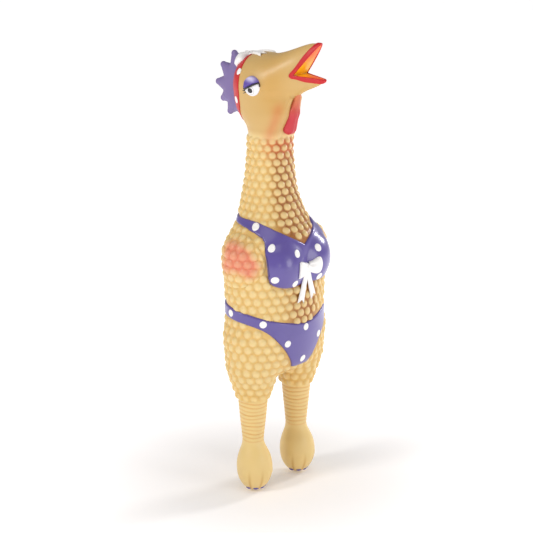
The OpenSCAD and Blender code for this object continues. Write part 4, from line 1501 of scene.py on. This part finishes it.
def build_head():
    split_mouth(
        "upper_lip_paint", "lower_lip_paint", lips_shape, red_paint, ("upper_lip", "lower_lip"),
    )
    split_mouth(
        "mouth_lining_paint", "jaw_lining_paint", lining_shape, lining_paint, ("mouth_lining", "jaw_lining"),
        lambda p: {"outward": ease((MOUTH[1] - p[:, 1] - 4) / 16)},
    )
    points, quads, _ = shape_mesh(comb_shape, (-14, 24, 366), (14, 84, 458), FINE * 1.3)
    riding_head("comb_skin", (points, quads.tolist()), comb_latex, ("comb",))
    points, quads, _ = shape_mesh(headband_shape, (-34, 20, 366), (34, 50, 456), FINE)
    riding_head("headband_ribbon", (points, quads.tolist()), red_paint, ("headband",))
    points, quads, _ = shape_mesh(wattle_shape, (-11, -40, 366), (11, -8, 420), FINE)
    riding_head("wattle_skin", (points, quads.tolist()), wattle_paint, ("wattle",),
                {"high": ease((points[:, 2] - 388) / 26)})
    dots = []
    for y, z in ((27.8, 430.5), (30.9, 403)):
        start = np.array([[-20.0, y, z]])
        centre = settle(head_solid, start, 8, most=4.0)[0][0]
        one = patch(head_solid, centre, (0, -1, 0), (0, 0, 1), circle_of(3.7), dome(1.4, 0.8, 0.5), 0.2)
        dots += [one, mirrored(*one)]
    riding_head("headband_dots_paint", joined(dots), white_paint, ("headband_dots",))
    for side, word in ((1, "left"), (-1, "right")):
        points, faces, masks = eyeball_mesh(side)
        riding_head(
            f"{word}_eye_white", (points, faces), eye_white, (f"{word}_eye",), masks,
        )
        points, faces, masks = eyelid_mesh(side)
        riding_head(
            f"{word}_eyelid_paint", (points, faces), lid_paint, (f"{word}_eyelid",), masks,
        )
        riding_head(f"{word}_pupil_paint", pupil_mesh(side), black_paint, (f"{word}_pupil",))
        riding_head(f"{word}_eye_liner", liner_mesh(side), black_paint)
        strokes = [
            lash_mesh(side, (-7.6, -5.2), (-11.8, -5.4), 1.5),
            lash_mesh(side, (-7.4, -5.8), (-11.2, -8.2), 1.4),
            lash_mesh(side, (-7.6, -4.8), (-11.2, -2.9), 1.3),
        ]
        riding_head(f"{word}_lashes", joined(strokes), black_paint)


def build_toenails():
    for side, word in ((1, "left"), (-1, "right")):
        nails = []
        for angle in TOES:
            a = math.radians(angle)
            across = (math.cos(a), math.sin(a), 0.0)
            outward = np.array([math.sin(a), -math.cos(a), 0])
            start = np.array([[0.0, -1.4, 4.6]]) + outward * 11
            centre = settle(foot_shape, start, 10, most=4.0)[0][0]
            nail_rise = dome(0.8, 0.15, 0.6)
            nails.append(patch(
                foot_shape, centre, across, (0, 0, 1), circle_of(2.4, 1.2), nail_rise, 0.5, 6, 24,
            ))
        points, faces = joined(nails)
        nail = make_object(f"{word}_toenails_paint", points + [side * LEG_X, 0, 0], faces, bikini_paint)
        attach(nail, f"{word}_foot")
        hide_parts(f"{word}_toenails")


def dress_squeaker():
    """The squeaker's four CAD pieces stay as they are and only get their materials."""
    for node, look in (
        ("squeaker_housing", plastic), ("squeaker_cap", plastic), ("reed_block", plastic), ("reed", film),
    ):
        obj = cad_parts[node]
        obj.data.materials.clear()
        obj.data.materials.append(look)


rng = np.random.default_rng(7)
build_all_skin(rng)
build_wings(rng)
build_bikini()
build_bows()
build_head()
build_toenails()
dress_squeaker()


# ---------------------------------------------------------------- floor, light and camera

CAMERA_AZIMUTH = math.radians(-48)
CAMERA_RISE = math.radians(16)
CAMERA_AWAY = 1.8
AIM = Vector(spot(0, 0, 232))
AIM_ASIDE = 0.0086


def build_floor():
    """A flat pale floor that glows: dimly near the toy, which darkens the floor round it as a painted shadow,
    and more strongly away from it, so that it fades to white in the picture.
    """
    size = 6.0
    mesh = bpy.data.meshes.new("floor")
    corners = [(-size, -size, 0), (size, -size, 0), (size, size, 0), (-size, size, 0)]
    mesh.from_pydata(corners, [], [(0, 1, 2, 3)])
    made = bpy.data.materials.new("floor_glow_and_painted_shadow")
    made.use_nodes = True
    shader = made.node_tree.nodes["Principled BSDF"]
    shader.inputs["Base Color"].default_value = (0.93, 0.915, 0.915, 1)
    shader.inputs["Roughness"].default_value = 0.6
    shader.inputs["Specular IOR Level"].default_value = 0.2
    shader.inputs["Emission Color"].default_value = (1, 0.985, 0.985, 1)
    tree = made.node_tree
    where = tree.nodes.new("ShaderNodeTexCoord")
    away = tree.nodes.new("ShaderNodeVectorMath")
    away.operation = "LENGTH"
    # Painted shadow round the toy: the glow is weakest near it and grows with distance
    glow = tree.nodes.new("ShaderNodeMapRange")
    glow.interpolation_type = "SMOOTHSTEP"
    glow.inputs["From Min"].default_value = 0.06
    glow.inputs["From Max"].default_value = 0.36
    glow.inputs["To Min"].default_value = 0.14
    glow.inputs["To Max"].default_value = 0.66
    link(tree, where.outputs["Object"], away.inputs[0])
    link(tree, away.outputs["Value"], glow.inputs["Value"])
    link(tree, glow.outputs["Result"], shader.inputs["Emission Strength"])
    mesh.materials.append(made)
    floor = bpy.data.objects.new("floor", mesh)
    bpy.context.scene.collection.objects.link(floor)


def area_light(name, place, size, power, colour=(1, 1, 1)):
    data = bpy.data.lights.new(name, "AREA")
    data.shape = "DISK"
    data.size = size
    data.energy = power
    data.color = colour
    lamp = bpy.data.objects.new(name, data)
    bpy.context.scene.collection.objects.link(lamp)
    lamp.location = AIM + Vector(place)
    lamp.rotation_euler = (AIM - lamp.location).to_track_quat("-Z", "Y").to_euler()


def view_place(azimuth, rise, away):
    """Place about the aim, by azimuth from the camera's side, in degrees."""
    a, e = CAMERA_AZIMUTH + math.radians(azimuth), math.radians(rise)
    return (away * math.sin(a) * math.cos(e), -away * math.cos(a) * math.cos(e), away * math.sin(e))


def build_light():
    world = bpy.data.worlds.new("studio")
    bpy.context.scene.world = world
    world.use_nodes = True
    world.node_tree.nodes["Background"].inputs["Color"].default_value = (1, 0.99, 0.985, 1)
    world.node_tree.nodes["Background"].inputs["Strength"].default_value = 0.39
    area_light("key", view_place(-54, 30, 1.5), 0.34, 7.6, (1.0, 0.985, 0.965))
    area_light("top", view_place(10, 70, 1.6), 1.0, 3.2)
    area_light("rim", view_place(125, 20, 1.5), 0.3, 8.0)
    area_light("spark", view_place(16, 4, 1.6), 0.05, 0.7)
    area_light("fill", view_place(58, 8, 1.6), 0.7, 4.8)


def build_camera():
    data = bpy.data.cameras.new("camera")
    data.lens = 119.75
    data.sensor_width = 36
    data.clip_start = 0.05
    camera = bpy.data.objects.new("camera", data)
    bpy.context.scene.collection.objects.link(camera)
    flat = math.cos(CAMERA_RISE)
    back = Vector((math.sin(CAMERA_AZIMUTH) * flat, -math.cos(CAMERA_AZIMUTH) * flat, math.sin(CAMERA_RISE)))
    right = Vector((math.cos(CAMERA_AZIMUTH), math.sin(CAMERA_AZIMUTH), 0))
    camera.location = AIM - right * AIM_ASIDE + back * CAMERA_AWAY
    camera.rotation_euler = (-back).to_track_quat("-Z", "Y").to_euler()
    bpy.context.scene.camera = camera


build_floor()
build_light()
build_camera()
bpy.context.scene.view_settings.view_transform = "Standard"
